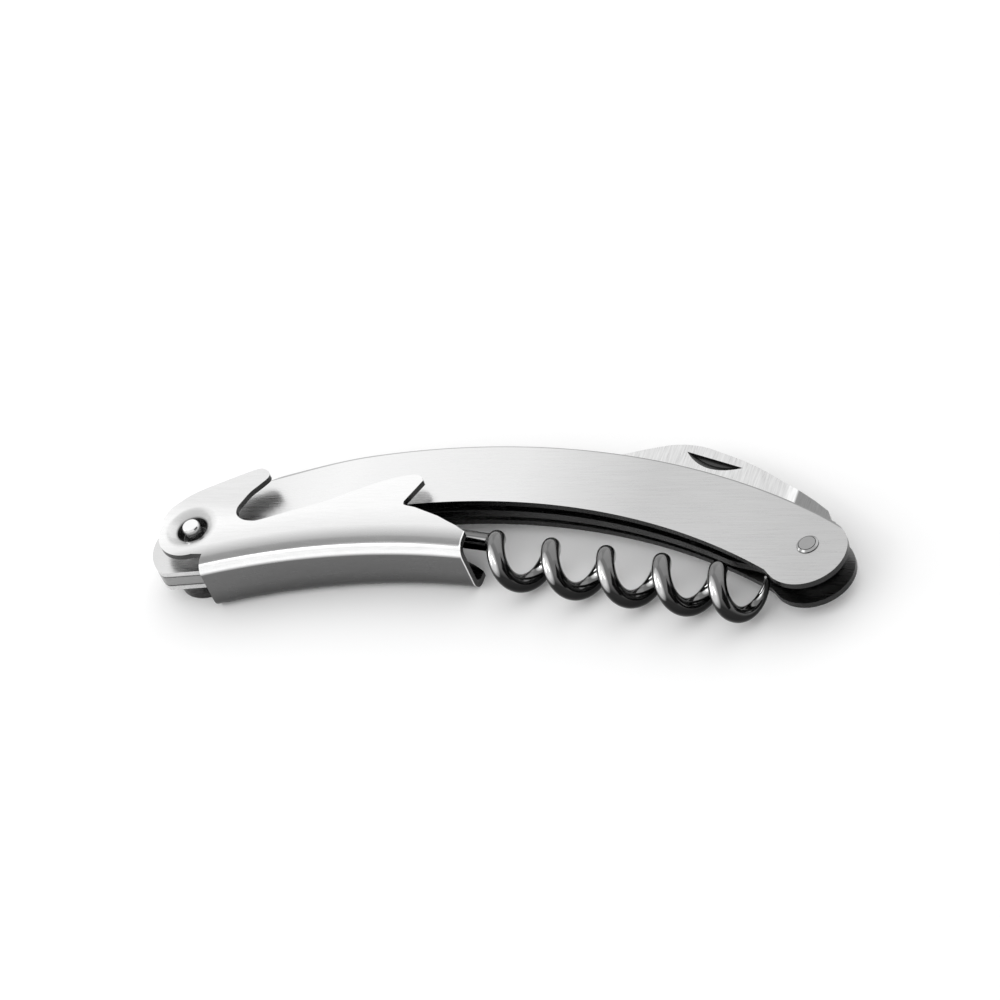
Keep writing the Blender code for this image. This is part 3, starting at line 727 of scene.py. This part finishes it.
def lever_outline():
    """The lever from the side: ear, hook, mouth, fin, notch and tail, then back under the spine."""
    outline = []
    start, end = EAR_FOOT_ANGLE, EAR_BACK_ANGLE
    for k in range(EAR_STEPS + 1):
        angle = start + (end - start) * k / EAR_STEPS
        outline.append((EAR_RADIUS * cos(angle), EAR_RADIUS * sin(angle)))
    top = scaled(HOOK_SHARES + MOUTH_SHARES + FIN_SHARES, LEVER_LENGTH, LEVER_HEIGHT)
    outline += smooth_through(top, 3)
    outline += smooth_through(scaled(NOTCH_SHARES, LEVER_LENGTH, LEVER_HEIGHT), 2)
    outline += scaled(TAIL_SHARES, LEVER_LENGTH, LEVER_HEIGHT)
    under = spine_face(SPINE_START_X) - CUT_OVERRUN
    outline += [(LEVER_LENGTH, 0.0), (LEVER_LENGTH, under), (SPINE_START_X, under)]
    outline += [(SPINE_START_X, EAR_RADIUS * sin(start))]
    return outline


def dish_profile(side, clearance):
    """(radius, height) pairs of a dimple's hollow, from its floor out past the wall's face."""
    face = LEVER_WIDTH / 2
    floor = NOSE_THICKNESS / 2 + FACE_GAP + LEVER_SHEET
    foot_out, foot_down = DISH_FOOT_SHARES
    brow_out, brow_down = DISH_BROW_SHARES
    pairs = [
        (WELL_FLOOR_RADIUS, floor),
        (WELL_RADIUS, face - DISH_DEPTH),
        (WELL_RADIUS * foot_out, face - DISH_DEPTH * foot_down),
        (DISH_RADIUS * brow_out, face - DISH_DEPTH * brow_down),
        (DISH_RADIUS, face),
        (DISH_RADIUS, face + clearance),
    ]
    return [(radius, side * height) for radius, height in pairs]


def boss_profile(side):
    """(radius, height) pairs of the same dimple's lump on the inner side of the wall."""
    inner = LEVER_WIDTH / 2 - LEVER_SHEET
    foot = NOSE_THICKNESS / 2 + FACE_GAP
    out, up = LUMP_FOOT_SHARES
    pairs = [
        (WELL_FLOOR_RADIUS + LEVER_SHEET * out, foot),
        (WELL_FLOOR_RADIUS + LEVER_SHEET, foot + LEVER_SHEET * up),
        (WELL_RADIUS + LEVER_SHEET, inner - DISH_DEPTH / 2),
        (DISH_RADIUS, inner + LEVER_SHEET / 4),
    ]
    return [(radius, side * height) for radius, height in pairs]


def in_order(profile):
    """The profile's pairs from the bottom up."""
    return sorted(profile, key=lambda pair: pair[1])


def lever():
    """The folded channel trimmed to its outline, with both dimples and the rivet's hole."""
    first = -EAR_RADIUS * CHANNEL_START_SHARE
    span = LEVER_LENGTH + CUT_OVERRUN - first
    places = [first + span * k / SPINE_STEPS for k in range(SPINE_STEPS + 1)]
    channel = faced("satin_steel", solid("lever", loft([channel_section(x) for x in places])))
    reach = LEVER_WIDTH / 2 + CUT_OVERRUN
    # The outline's cut faces take a nearly black steel, a painted dark reflection on the lever's edges
    cutter = faced("painted_shade_steel", solid("lever_outline", prism(lever_outline(), -reach, reach)))
    combine(channel, "INTERSECT", cutter)
    for side in (1, -1):
        name = "front" if side > 0 else "back"
        lump = turned(in_order(boss_profile(side)), LEVER_PIVOT)
        combine(channel, "UNION", solid("boss_" + name, lump))
        hollow = turned(in_order(dish_profile(side, CUT_OVERRUN)), LEVER_PIVOT)
        combine(channel, "DIFFERENCE", solid("dish_" + name, hollow))
    drill(channel, "lever_hole", LEVER_PIVOT, PIVOT_RADIUS, reach)
    return channel


def lever_rivet():
    """Headed in front, spread inside the dimple at the back."""
    floor = NOSE_THICKNESS / 2 + FACE_GAP + LEVER_SHEET + FACE_GAP
    top = LEVER_WIDTH / 2 + PIVOT_HEAD_PROUD
    bottom = -LEVER_WIDTH / 2 + PIVOT_TAIL_RECESS
    profile = [
        (PIVOT_NECK_RADIUS, bottom),
        (PIVOT_HEAD_RADIUS, bottom + HEAD_TAPER),
        (PIVOT_HEAD_RADIUS, -floor),
        (PIVOT_RADIUS, -floor),
        (PIVOT_RADIUS, floor),
        (PIVOT_HEAD_RADIUS, floor),
        (PIVOT_HEAD_RADIUS, top - HEAD_TAPER),
        (PIVOT_NECK_RADIUS, top),
    ]
    return solid("lever_rivet", turned(profile, LEVER_PIVOT))


def headed_pin(name, centre, radius, head_radius, head_height):
    """A pin through both plates with a tapered head on each."""
    face = plate_face() + FACE_GAP
    top = face + head_height
    profile = [
        (head_radius - HEAD_TAPER, -top),
        (head_radius, -face),
        (radius, -face),
        (radius, face),
        (head_radius, face),
        (head_radius - HEAD_TAPER, top),
    ]
    return solid(name, turned(profile, centre))


def along_blade(shares):
    """Points of the folded blade from its shares."""
    return [(BLADE_PIVOT_X - x, BLADE_PIVOT_Y + y) for x, y in scaled(shares, BLADE_LENGTH, BLADE_DEPTH)]


def tang_arc(start, end):
    """Points round the tang, between two angles from the blade's pivot."""
    steps = ROUND_STEPS // 4
    angles = [start + (end - start) * k / steps for k in range(steps + 1)]
    return [(BLADE_PIVOT_X + TANG_RADIUS * cos(a), BLADE_PIVOT_Y + TANG_RADIUS * sin(a)) for a in angles]


def blade_back():
    """The upper side of the folded blade, from the tip to the right end of the tang."""
    points = along_blade((TIP_SHARES,)) + smooth_through(along_blade(BLADE_BACK_SHARES))
    return points + along_blade(BLADE_BUTT_SHARES) + tang_arc(TANG_FRONT_ANGLE, 0.0)


def blade_edge():
    """The cutting edge from the tip to the heel, then under the tang to its right end."""
    points = along_blade((TIP_SHARES,)) + smooth_through(along_blade(BLADE_EDGE_SHARES))
    return points + tang_arc(-pi - TANG_HEEL_ANGLE, 0.0)


def height_at(points, x):
    """Height of an outline, drawn from left to right, at x."""
    for before, after in zip(points, points[1:]):
        if before[0] <= x <= after[0]:
            return before[1] + (after[1] - before[1]) * (x - before[0]) / (after[0] - before[0])
    return points[-1][1]


def blade_section(x, back, edge):
    """Across the blade at x: full thickness down to the ground band along the edge."""
    half = BLADE_THICKNESS / 2
    low = height_at(edge, x)
    high = max(height_at(back, x), low + TIP_BLUNTNESS)
    heel = along_blade(BLADE_EDGE_SHARES)[-1][0]
    ground = min(1.0, max(0.0, (heel - x) / GRIND_RUN_OUT))
    thin = half - (half - EDGE_THICKNESS / 2) * ground
    line = low + min(GRIND_WIDTH, (high - low) / 2)
    ring = [(x, low, -thin), (x, line, -half), (x, high, -half)]
    return ring + [(x, y, -z) for x, y, z in reversed(ring)]


def blade():
    """The folded blade with its rivet's hole and the nail nick."""
    centre = (BLADE_PIVOT_X, BLADE_PIVOT_Y)
    back, edge = blade_back(), blade_edge()
    start, middle, end = back[0][0], BLADE_PIVOT_X - TANG_RADIUS, BLADE_PIVOT_X + TANG_RADIUS
    places = [start + (middle - start) * k / BLADE_STEPS for k in range(BLADE_STEPS)]
    places += [BLADE_PIVOT_X - TANG_RADIUS * cos(pi * k / NOSE_STEPS) for k in range(NOSE_STEPS)]
    places.append(end - TIP_BLUNTNESS / 4)
    body = faced("blade_steel", solid("blade", loft([blade_section(x, back, edge) for x in places])))
    drill(body, "blade_hole", centre, BLADE_RIVET_RADIUS, BLADE_THICKNESS / 2 + CUT_OVERRUN)
    # The nick's faces take a nearly black steel, painted shade in the nick
    combine(body, "DIFFERENCE", faced("painted_shade_steel", solid("nail_nick", nail_nick())))
    return body


def nail_nick():
    """A crescent cut in the front of the blade, straight along the back and bellied below."""
    half = BLADE_THICKNESS / 2
    back = blade_back()
    middle_x = BLADE_PIVOT_X - NICK_X_SHARE * BLADE_LENGTH
    middle_y = height_at(back, middle_x) - NICK_BELOW_BACK
    ends = [height_at(back, middle_x + side * NICK_LENGTH / 2) for side in (-1, 1)]
    slope = atan2(ends[1] - ends[0], NICK_LENGTH)

    def crescent(shares, lift):
        """The outline at these shares of the nick's length and width."""
        length, width = NICK_LENGTH * shares[0], NICK_WIDTH * shares[1]
        points = []
        for k in range(NICK_STEPS + 1):
            share = k / NICK_STEPS
            along = length * (share - 0.5)
            belly = lift - width * 4 * share * (1 - share)
            x = middle_x + along * cos(slope) - belly * sin(slope)
            y = middle_y + along * sin(slope) + belly * cos(slope)
            points.append((x, y))
        return points

    lift = NICK_WIDTH * NICK_LIFT_SHARE
    outlines = (crescent(NICK_FLOOR_SHARES, 0.0), crescent(NICK_MOUTH_SHARES, lift))
    heights = (half - NICK_DEPTH, half + NICK_DEPTH)
    return loft([[(x, y, z) for x, y in outline] for outline, z in zip(outlines, heights)])


def coil_start():
    """Distance from the worm's pin to the coil, which starts clear of the folded lever's end."""
    return LEVER_LENGTH - WORM_PIN_X + COIL_CLEARANCE


def coil_slope():
    """Slope of the shank and the coil, whose tip ends close under the back spring."""
    slope = 0.0
    for _ in range(SLOPE_ROUNDS):
        far_x = WORM_PIN_X + WORM_LENGTH * cos(slope)
        far_y = spring_bounds(far_x)[0] - TIP_CLEARANCE - COIL_TIP_RADIUS
        slope = atan2(far_y - WORM_PIN_Y, far_x - WORM_PIN_X)
    return slope


def coil_phase(run):
    """Turning angle at a distance from the coil's start. The last turn closes up a little."""
    rate = 2 * pi / COIL_PITCH
    if run <= 0:
        return 0.0
    if run < COIL_LEAD:
        return rate * run * run / (2 * COIL_LEAD)
    left = WORM_LENGTH - coil_start() - run
    closing = max(0.0, 1 - left / COIL_PITCH)
    return rate * (run - COIL_LEAD / 2) + TIP_CLOSING * closing * closing


def wire_path():
    """Centre points and radii of the wire, from the eye to the tip."""
    slope = coil_slope()
    along = Vector((cos(slope), sin(slope), 0.0))
    across = Vector((-sin(slope), cos(slope), 0.0))
    pin = Vector((WORM_PIN_X, WORM_PIN_Y, 0.0))
    start = coil_start()
    end = WORM_LENGTH - start
    shank = EYE_RADIUS * SHANK_START_SHARE - start
    runs = [shank * (1 - k / SHANK_STEPS) for k in range(SHANK_STEPS)]
    steps = int(end / COIL_PITCH * TURN_STEPS)
    runs += [end * k / steps for k in range(steps + 1)]
    points, radii = [], []
    for run in runs:
        left = (end - run) / COIL_PITCH
        taper = max(0.0, 1 - left / TIP_TURNS)
        radius = COIL_RADIUS - COIL_TIP_DRAW * taper
        phase = coil_phase(run)
        offset = across * (radius * cos(phase) - COIL_RADIUS) + Vector((0.0, 0.0, radius * sin(phase)))
        points.append(pin + along * (start + run) + offset)
        radii.append(WIRE_RADIUS + (COIL_TIP_RADIUS - WIRE_RADIUS) * taper**TAPER_POWER)
    return points, radii


def tube(points, radii, sides):
    """A round tube through the points, its rings carried along without twist."""
    sections = []
    guide = Vector((0.0, 0.0, 1.0))
    for k, (point, radius) in enumerate(zip(points, radii)):
        ahead = points[min(k + 1, len(points) - 1)] - points[max(k - 1, 0)]
        ahead.normalize()
        guide = (guide - ahead * guide.dot(ahead)).normalized()
        other = ahead.cross(guide)
        ring = []
        for j in range(sides):
            angle = 2 * pi * j / sides
            ring.append(tuple(point + radius * (cos(angle) * guide + sin(angle) * other)))
        sections.append(ring)
    return loft(sections)


def worm():
    """The wire with a flat round eye joined on, and the pin's hole through it."""
    centre = (WORM_PIN_X, WORM_PIN_Y)
    half = EYE_THICKNESS / 2
    points, radii = wire_path()
    wire = solid("worm", tube(points, radii, WIRE_SIDES))
    eye = solid("worm_eye", turned([(EYE_RADIUS, -half), (EYE_RADIUS, half)], centre))
    combine(wire, "UNION", eye)
    drill(wire, "eye_hole", centre, WORM_PIN_RADIUS, half + CUT_OVERRUN)
    return wire


class Nodes:
    """A material's node tree, with short calls for the nodes used here."""

    def __init__(self, name):
        self.material = bpy.data.materials.new(name)
        self.material.use_nodes = True
        self.tree = self.material.node_tree
        self.shader = self.tree.nodes["Principled BSDF"]
        self.place = self.add("ShaderNodeTexCoord")

    def add(self, kind, **values):
        """A new node of that kind with the given settings."""
        node = self.tree.nodes.new(kind)
        for key, value in values.items():
            setattr(node, key, value)
        return node

    def feed(self, value, into):
        """Sets a socket from a number or links it to another socket."""
        if isinstance(value, (int, float)):
            into.default_value = value
        else:
            self.tree.links.new(value, into)

    def maths(self, operation, first, second=0.0):
        """One operation on two numbers or sockets."""
        node = self.add("ShaderNodeMath", operation=operation)
        self.feed(first, node.inputs[0])
        self.feed(second, node.inputs[1])
        return node.outputs[0]

    def product(self, first, *others):
        """All the values multiplied."""
        for other in others:
            first = self.maths("MULTIPLY", first, other)
        return first

    def less(self, first, second):
        """The first value less the second."""
        return self.maths("SUBTRACT", first, second)

    def weighted(self, values, weights):
        """The sum of the values, each times its weight."""
        total = 0.0
        for value, weight in zip(values, weights):
            total = self.maths("ADD", total, self.maths("MULTIPLY", value, weight))
        return total

    def spread(self, value, low, high, to_low=0.0, to_high=1.0):
        """Maps low..high to the two ends, and holds them beyond."""
        node = self.add("ShaderNodeMapRange")
        self.feed(value, node.inputs["Value"])
        limits = {"From Min": low, "From Max": high, "To Min": to_low, "To Max": to_high}
        for key, number in limits.items():
            node.inputs[key].default_value = number
        return node.outputs["Result"]

    def axes(self, output="Object"):
        """X, Y and Z of the piece's own place or normal."""
        node = self.add("ShaderNodeSeparateXYZ")
        self.feed(self.place.outputs[output], node.inputs[0])
        return node.outputs

    def apart(self, centre):
        """Distance in the side view from a point of the drawing."""
        x, y, _ = self.axes()
        dx = self.less(x, centre[0])
        dy = self.less(y, centre[1])
        return self.maths("SQRT", self.maths("ADD", self.product(dx, dx), self.product(dy, dy)))

    def tones(self, value, stops):
        """Grey by value, from (value, grey) stops in rising order."""
        low, high = stops[0][0], stops[-1][0]
        node = self.add("ShaderNodeValToRGB")
        ramp = node.color_ramp
        while len(ramp.elements) < len(stops):
            ramp.elements.new(0.5)
        for element, (place, grey) in zip(ramp.elements, stops):
            element.position = (place - low) / (high - low)
            element.color = (grey, grey, grey, 1.0)
        self.feed(self.spread(value, low, high), node.inputs[0])
        return node.outputs["Color"]

    def grain(self, stretch, scale):
        """Noise of the given scale, stretched along X, Y and Z."""
        mapping = self.add("ShaderNodeMapping")
        mapping.inputs["Scale"].default_value = stretch
        self.feed(self.place.outputs["Object"], mapping.inputs["Vector"])
        noise = self.add("ShaderNodeTexNoise")
        noise.inputs["Scale"].default_value = scale
        noise.inputs["Detail"].default_value = GRAIN_DETAIL
        self.feed(mapping.outputs["Vector"], noise.inputs["Vector"])
        return noise.outputs["Fac"]


def steel(name, tone, rough, rough_swing, stretch, scale, bump, streak):
    """Procedural steel: a stretched grain drives tone, roughness and bump over the tone's own pattern;
    the tone is a plain grey for some steels and painted light and shade for others.
    """
    nodes = Nodes(name)
    grain = nodes.grain(stretch, scale)
    shade = nodes.spread(grain, GRAIN_LOW, GRAIN_HIGH, 1 - streak, 1 + streak)
    grey = nodes.product(tone if isinstance(tone, float) else tone(nodes), shade)
    nodes.feed(grey, nodes.shader.inputs["Base Color"])
    finish = nodes.spread(grain, GRAIN_LOW, GRAIN_HIGH, rough - rough_swing, rough + rough_swing)
    nodes.feed(finish, nodes.shader.inputs["Roughness"])
    lift = nodes.add("ShaderNodeBump")
    lift.inputs["Strength"].default_value = bump
    lift.inputs["Distance"].default_value = GRAIN_DEPTH
    nodes.feed(grain, lift.inputs["Height"])
    nodes.feed(lift.outputs["Normal"], nodes.shader.inputs["Normal"])
    nodes.shader.inputs["Metallic"].default_value = 1.0
    return nodes.material


def plate_painted_light(nodes):
    """Painted light: lighter towards the lever's end, with a thin painted dark reflection along the
    convex side, and painted shade on the inner faces.
    """
    x, _, z = nodes.axes()
    side = nodes.spread(x, CAMBER_APEX_X, BLADE_PIVOT_X)
    gain = nodes.product(side, side, BAND_TAIL_GAIN / 2)
    radius = nodes.less(nodes.apart((CAMBER_APEX_X, BAND_CENTRE_Y)), gain)
    # A thin rim of painted dark reflection along the convex edge
    low, high = (CAMBER_RADIUS + BAND_WIDTH / 2 - inset for inset in PAINTED_RIM_INSETS)
    rim = nodes.spread(radius, low, high, 1.0, PAINTED_RIM_SHADE)
    # Painted shade on the faces between the plates
    low, high = (PLATE_GAP / 2 + bound for bound in INNER_FACE_BOUNDS)
    inner = nodes.spread(nodes.maths("ABSOLUTE", z), low, high, INNER_FACE_PAINTED_SHADE, 1.0)
    return nodes.product(nodes.tones(x, PLATE_PAINTED_LIGHT_STOPS), rim, inner)


def lever_painted_light(nodes):
    """Painted light: a painted dark reflection on the spine, painted highlights on the bend and the
    lever's end, and painted shade just above the bend, towards the floor, on the hook, in the dimple and
    inside the channel.
    """
    x, y, z = nodes.axes()
    depth = nodes.maths("ABSOLUTE", z)
    rise = nodes.less(nodes.apart((SPINE_APEX_X, SPINE_APEX_Y - SPINE_RADIUS)), SPINE_RADIUS)

    on_wall = nodes.spread(rise, BEND_RADIUS - WALL_BLEND, BEND_RADIUS + WALL_BLEND)
    height = nodes.maths("ADD", z, nodes.product(nodes.less(depth, z), on_wall))
    # Painted dark reflection on the spine, painted highlight on the bend, painted shade above it
    # lightening up the wall
    across_painted_light = nodes.tones(nodes.weighted((rise, height), ACROSS_WEIGHTS), LEVER_PAINTED_LIGHT_STOPS)
    # Painted shade on the spine and the bend, darker towards the floor
    low = nodes.maths("MAXIMUM", nodes.spread(z, *LOW_HEIGHTS, LOW_PAINTED_SHADE, 1.0), on_wall)
    # Painted shade on the hook
    hook = nodes.product(nodes.spread(y, *HOOK_HEIGHTS), nodes.spread(x, *HOOK_PLACES, 1.0, 0.0))
    shaded = nodes.product(across_painted_light, low, nodes.spread(hook, 0.0, 1.0, 1.0, HOOK_PAINTED_SHADE))
    # Painted highlight along the lever's end
    lip = nodes.spread(x, *(LEVER_LENGTH - inset for inset in LIP_INSETS), 0.0, LIP_PAINTED_HIGHLIGHT)
    # Painted shade in the dimple round the rivet
    well_painted_shade = nodes.tones(nodes.apart(LEVER_PIVOT), WELL_PAINTED_SHADE_STOPS)

    # Painted shade inside the channel, lighter on the inner faces of the fin and the ear
    wall = LEVER_WIDTH / 2 - LEVER_SHEET
    between_walls = nodes.spread(depth, wall, wall + WALL_BLEND, 1.0, 0.0)
    inside = nodes.product(between_walls, nodes.spread(rise, *CHANNEL_RISES))
    fin = nodes.product(nodes.spread(rise, *FIN_RISES), nodes.spread(x, *FIN_PLACES))
    fin_painted_grey = nodes.spread(fin, 0.0, 1.0, CHANNEL_PAINTED_SHADE, FIN_INNER_PAINTED_SHADE)
    ear_painted_grey = nodes.spread(x, *EAR_PLACES, EAR_INNER_PAINTED_SHADE, CHANNEL_PAINTED_SHADE)
    inner = nodes.maths("MAXIMUM", fin_painted_grey, ear_painted_grey)
    channel_painted_shade = nodes.less(1.0, nodes.product(inside, nodes.less(1.0, inner)))
    return nodes.product(nodes.maths("MAXIMUM", shaded, lip), well_painted_shade, channel_painted_shade)


def worm_painted_light(nodes):
    """Polished wire with painted shade on its underside, and a painted highlight on the front left flank
    of each turn.
    """
    normal = nodes.axes("Normal")
    # Painted shade on the wire's underside
    facing_painted_shade = nodes.tones(nodes.weighted(normal, FACING_WEIGHTS), WORM_PAINTED_SHADE_STOPS)
    # Painted highlight on the front left flank of each turn
    flank = nodes.spread(nodes.weighted(normal, FLANK_DIRECTION), *FLANK_BOUNDS, 0.0, FLANK_PAINTED_HIGHLIGHT)
    return nodes.maths("ADD", facing_painted_shade, flank)


def blade_painted_light(nodes):
    """Ground blade, painted light by X, with a painted highlight on the step before the ricasso and
    darker past it.
    """
    return nodes.tones(nodes.axes()[0], BLADE_PAINTED_LIGHT_STOPS)


def edge_painted_light(nodes):
    """Painted dark reflection on the cut edges, but for those round the nose, which are lighter, with
    painted shade in the seam beside the spacer.
    """
    x, _, z = nodes.axes()
    half = NOSE_THICKNESS / 2
    # Painted shade in the seam beside the spacer
    seam = nodes.spread(nodes.maths("ABSOLUTE", z), half - PLATE_SHEET, half - SEAM_INSET, SEAM_PAINTED_SHADE)
    return nodes.product(nodes.tones(x, EDGE_PAINTED_LIGHT_STOPS), seam)


# Name, tone (a plain grey, or painted light and shade where it is a function), roughness and its swing,
# the grain's stretch and scale, bump, and the tone's streak
FINISHES = (
    ("brushed_steel", plate_painted_light, 0.30, 0.06, (0.10, 4.0, 4.0), 1400.0, 0.35, 0.035),
    ("satin_steel", lever_painted_light, 0.24, 0.05, (0.2, 1.6, 1.6), 1600.0, 0.2, 0.04),
    ("ground_steel", 0.30, 0.35, 0.07, (0.3, 3.0, 3.0), 1500.0, 0.4, 0.06),
    ("polished_steel", 0.36, 0.14, 0.03, (1.0, 1.0, 1.0), 900.0, 0.1, 0.02),
    ("worm_steel", worm_painted_light, 0.12, 0.03, (1.0, 1.0, 1.0), 900.0, 0.1, 0.03),
    ("blade_steel", blade_painted_light, 0.33, 0.07, (3.0, 0.2, 0.2), 1500.0, 0.5, 0.12),
    ("head_steel", 0.72, 0.16, 0.03, (1.0, 1.0, 1.0), 900.0, 0.1, 0.02),
    # Nearly black steel: painted shade and dark reflection for the spring, the nick, the lever's cut
    # faces and hidden pins
    ("painted_shade_steel", 0.06, 0.28, 0.06, (0.3, 2.0, 2.0), 1500.0, 0.2, 0.05),
    ("edge_steel", edge_painted_light, 0.28, 0.06, (1.0, 1.0, 1.0), 1500.0, 0.2, 0.05),
)
STEELS = {finish[0]: steel(*finish) for finish in FINISHES}
HIDDEN_PARTS = ("spring_dowel_front", "spring_dowel_rear", "blade_washer_front", "blade_washer_back")


def finish_solids():
    """Gives each solid of the frame its steel, for those that no finer piece replaces."""
    for part in frame["record"]["subparts"]:
        name = part["node"]
        shown = frame["nodes"][name]
        shown.data.materials.clear()
        # Hidden pins and washers take the nearly black steel of painted shade
        finish = "painted_shade_steel" if name in HIDDEN_PARTS else part["material_slot"]
        shown.data.materials.append(STEELS[finish])


def blade_rivet():
    """The pin with flat heads at the body's other end."""
    return headed_pin(
        "blade_rivet_shown",
        (BLADE_PIVOT_X, BLADE_PIVOT_Y),
        BLADE_RIVET_RADIUS,
        BLADE_HEAD_RADIUS,
        BLADE_HEAD_HEIGHT,
    )


def dress_pieces():
    """Builds every finer piece and lets it stand for its solid."""
    for name, side in (("front_plate", 1), ("back_plate", -1)):
        plate = body_plate(name + "_shown", side)
        dress(plate, name, "handle", "brushed_steel", PLATE_SOFTNESS, cut_edges=True)
    # The spring between the plates takes a nearly black steel, painted shade in the gap
    dress(back_spring(), "back_spring", "handle", "polished_steel", STRIP_SOFTNESS, "painted_shade_steel")
    dress(nose_spacer(), "nose_spacer", "handle", "ground_steel", THIN_SOFTNESS)
    dress(lever(), "lever", "lever", "satin_steel", STRIP_SOFTNESS)
    dress(lever_rivet(), "lever_rivet", "handle", "polished_steel", HEAD_SOFTNESS, "head_steel")
    dress(worm(), "worm", "worm", "polished_steel", STRIP_SOFTNESS, "worm_steel")
    sharp = BLADE_SHARP_ANGLE
    dress(blade(), "blade", "blade", "ground_steel", THIN_SOFTNESS, "blade_steel", sharp=sharp)
    dress(blade_rivet(), "blade_rivet", "handle", "polished_steel", THIN_SOFTNESS, cut_edges=True)


def camera():
    """A long lens that stands and leans as the photograph's did."""
    data = bpy.data.cameras.new("camera")
    data.lens = LENS_MM
    data.sensor_width = SENSOR_MM
    data.clip_start = CLIP_NEAR
    data.clip_end = CLIP_FAR
    eye = bpy.data.objects.new("camera", data)
    bpy.context.collection.objects.link(eye)
    right = CAMERA_RIGHT.normalized()
    up = (CAMERA_UP - right * CAMERA_UP.dot(right)).normalized()
    back = right.cross(up)
    turn = Matrix((right, up, back)).transposed()
    eye.matrix_world = Matrix.Translation(DRAWING_PLACE + CAMERA_OFFSET) @ turn.to_4x4()
    bpy.context.scene.camera = eye


def sheet(name, width, height, grey, specular):
    """A flat matt rectangle of the stage, lying in its own X and Y."""
    mesh = bpy.data.meshes.new(name)
    w, h = width / 2, height / 2
    mesh.from_pydata([(-w, -h, 0.0), (w, -h, 0.0), (w, h, 0.0), (-w, h, 0.0)], [], [(0, 1, 2, 3)])
    obj = bpy.data.objects.new(name, mesh)
    bpy.context.collection.objects.link(obj)
    nodes = Nodes(name)
    nodes.shader.inputs["Base Color"].default_value = (grey, grey, grey, 1.0)
    nodes.shader.inputs["Roughness"].default_value = MATT_ROUGHNESS
    nodes.shader.inputs["Specular IOR Level"].default_value = specular
    mesh.materials.append(nodes.material)
    return obj


def aim(obj, direction, distance, target=(0.0, 0.0, 0.0)):
    """Stands an object off the target, in that direction, and turns it to face the target."""
    away = Vector(direction).normalized()
    obj.location = Vector(target) + away * distance
    obj.rotation_euler = away.to_track_quat("Z", "Y").to_euler()


def floor():
    """The plain pale table that the part lies on."""
    obj = sheet("floor", FLOOR_SIZE, FLOOR_SIZE, FLOOR_COLOUR, specular=0.0)


def softbox(name, width, height, radiance, direction, distance, target=(0.0, 0.0, 0.0)):
    """A rectangular lamp whose face has the given radiance."""
    data = bpy.data.lights.new(name, "AREA")
    data.shape = "RECTANGLE"
    data.size = width
    data.size_y = height
    data.energy = radiance * pi * width * height
    lamp = bpy.data.objects.new(name, data)
    bpy.context.collection.objects.link(lamp)
    aim(lamp, direction, distance, target)


def card(name, width, height, grey, direction, distance):
    """A dark studio card that the polished parts reflect and the camera doesn't see."""
    obj = sheet(name, width, height, grey, specular=0.5)
    aim(obj, direction, distance)
    obj.visible_camera = False


def world(level):
    """White to the eye and to metal, and of the given level to everything else."""
    scene_world = bpy.data.worlds.new("world")
    scene_world.use_nodes = True
    tree = scene_world.node_tree
    paths = tree.nodes.new("ShaderNodeLightPath")
    either = paths.outputs["Is Camera Ray"]
    for kind in ("Is Glossy Ray", "Is Transmission Ray"):
        larger = tree.nodes.new("ShaderNodeMath")
        larger.operation = "MAXIMUM"
        tree.links.new(either, larger.inputs[0])
        tree.links.new(paths.outputs[kind], larger.inputs[1])
        either = larger.outputs[0]
    strength = tree.nodes.new("ShaderNodeMapRange")
    strength.inputs["To Min"].default_value = level
    strength.inputs["To Max"].default_value = 1.0
    tree.links.new(either, strength.inputs["Value"])
    background = tree.nodes["Background"]
    background.inputs["Color"].default_value = (1.0, 1.0, 1.0, 1.0)
    tree.links.new(strength.outputs["Result"], background.inputs["Strength"])
    bpy.context.scene.world = scene_world


def lights():
    """A key from behind, a sweep over the nose, two strips from the left and a dark card on the right."""
    softbox("key", 1.4, 1.4, radiance=0.35, direction=(0.35, 0.80, 0.62), distance=1.2)
    softbox(
        "left_sweep",
        0.25,
        0.25,
        radiance=0.35,
        direction=(-0.48, 0.58, 0.66),
        distance=0.35,
        target=(-0.115, 0.0, 0.0),
    )
    softbox("bend_strip", 0.6, 0.18, radiance=1.8, direction=(-0.43, -0.50, 0.75), distance=1.0)
    softbox("left_strip", 0.45, 0.30, radiance=2.0, direction=(-0.92, -0.20, 0.30), distance=0.8)
    card("card_right", 0.9, 0.6, grey=0.02, direction=(0.95, -0.15, 0.3), distance=0.9)


finish_solids()
dress_pieces()
camera()
floor()
world(level=1.03)
lights()
bpy.context.scene.view_settings.view_transform = "Standard"
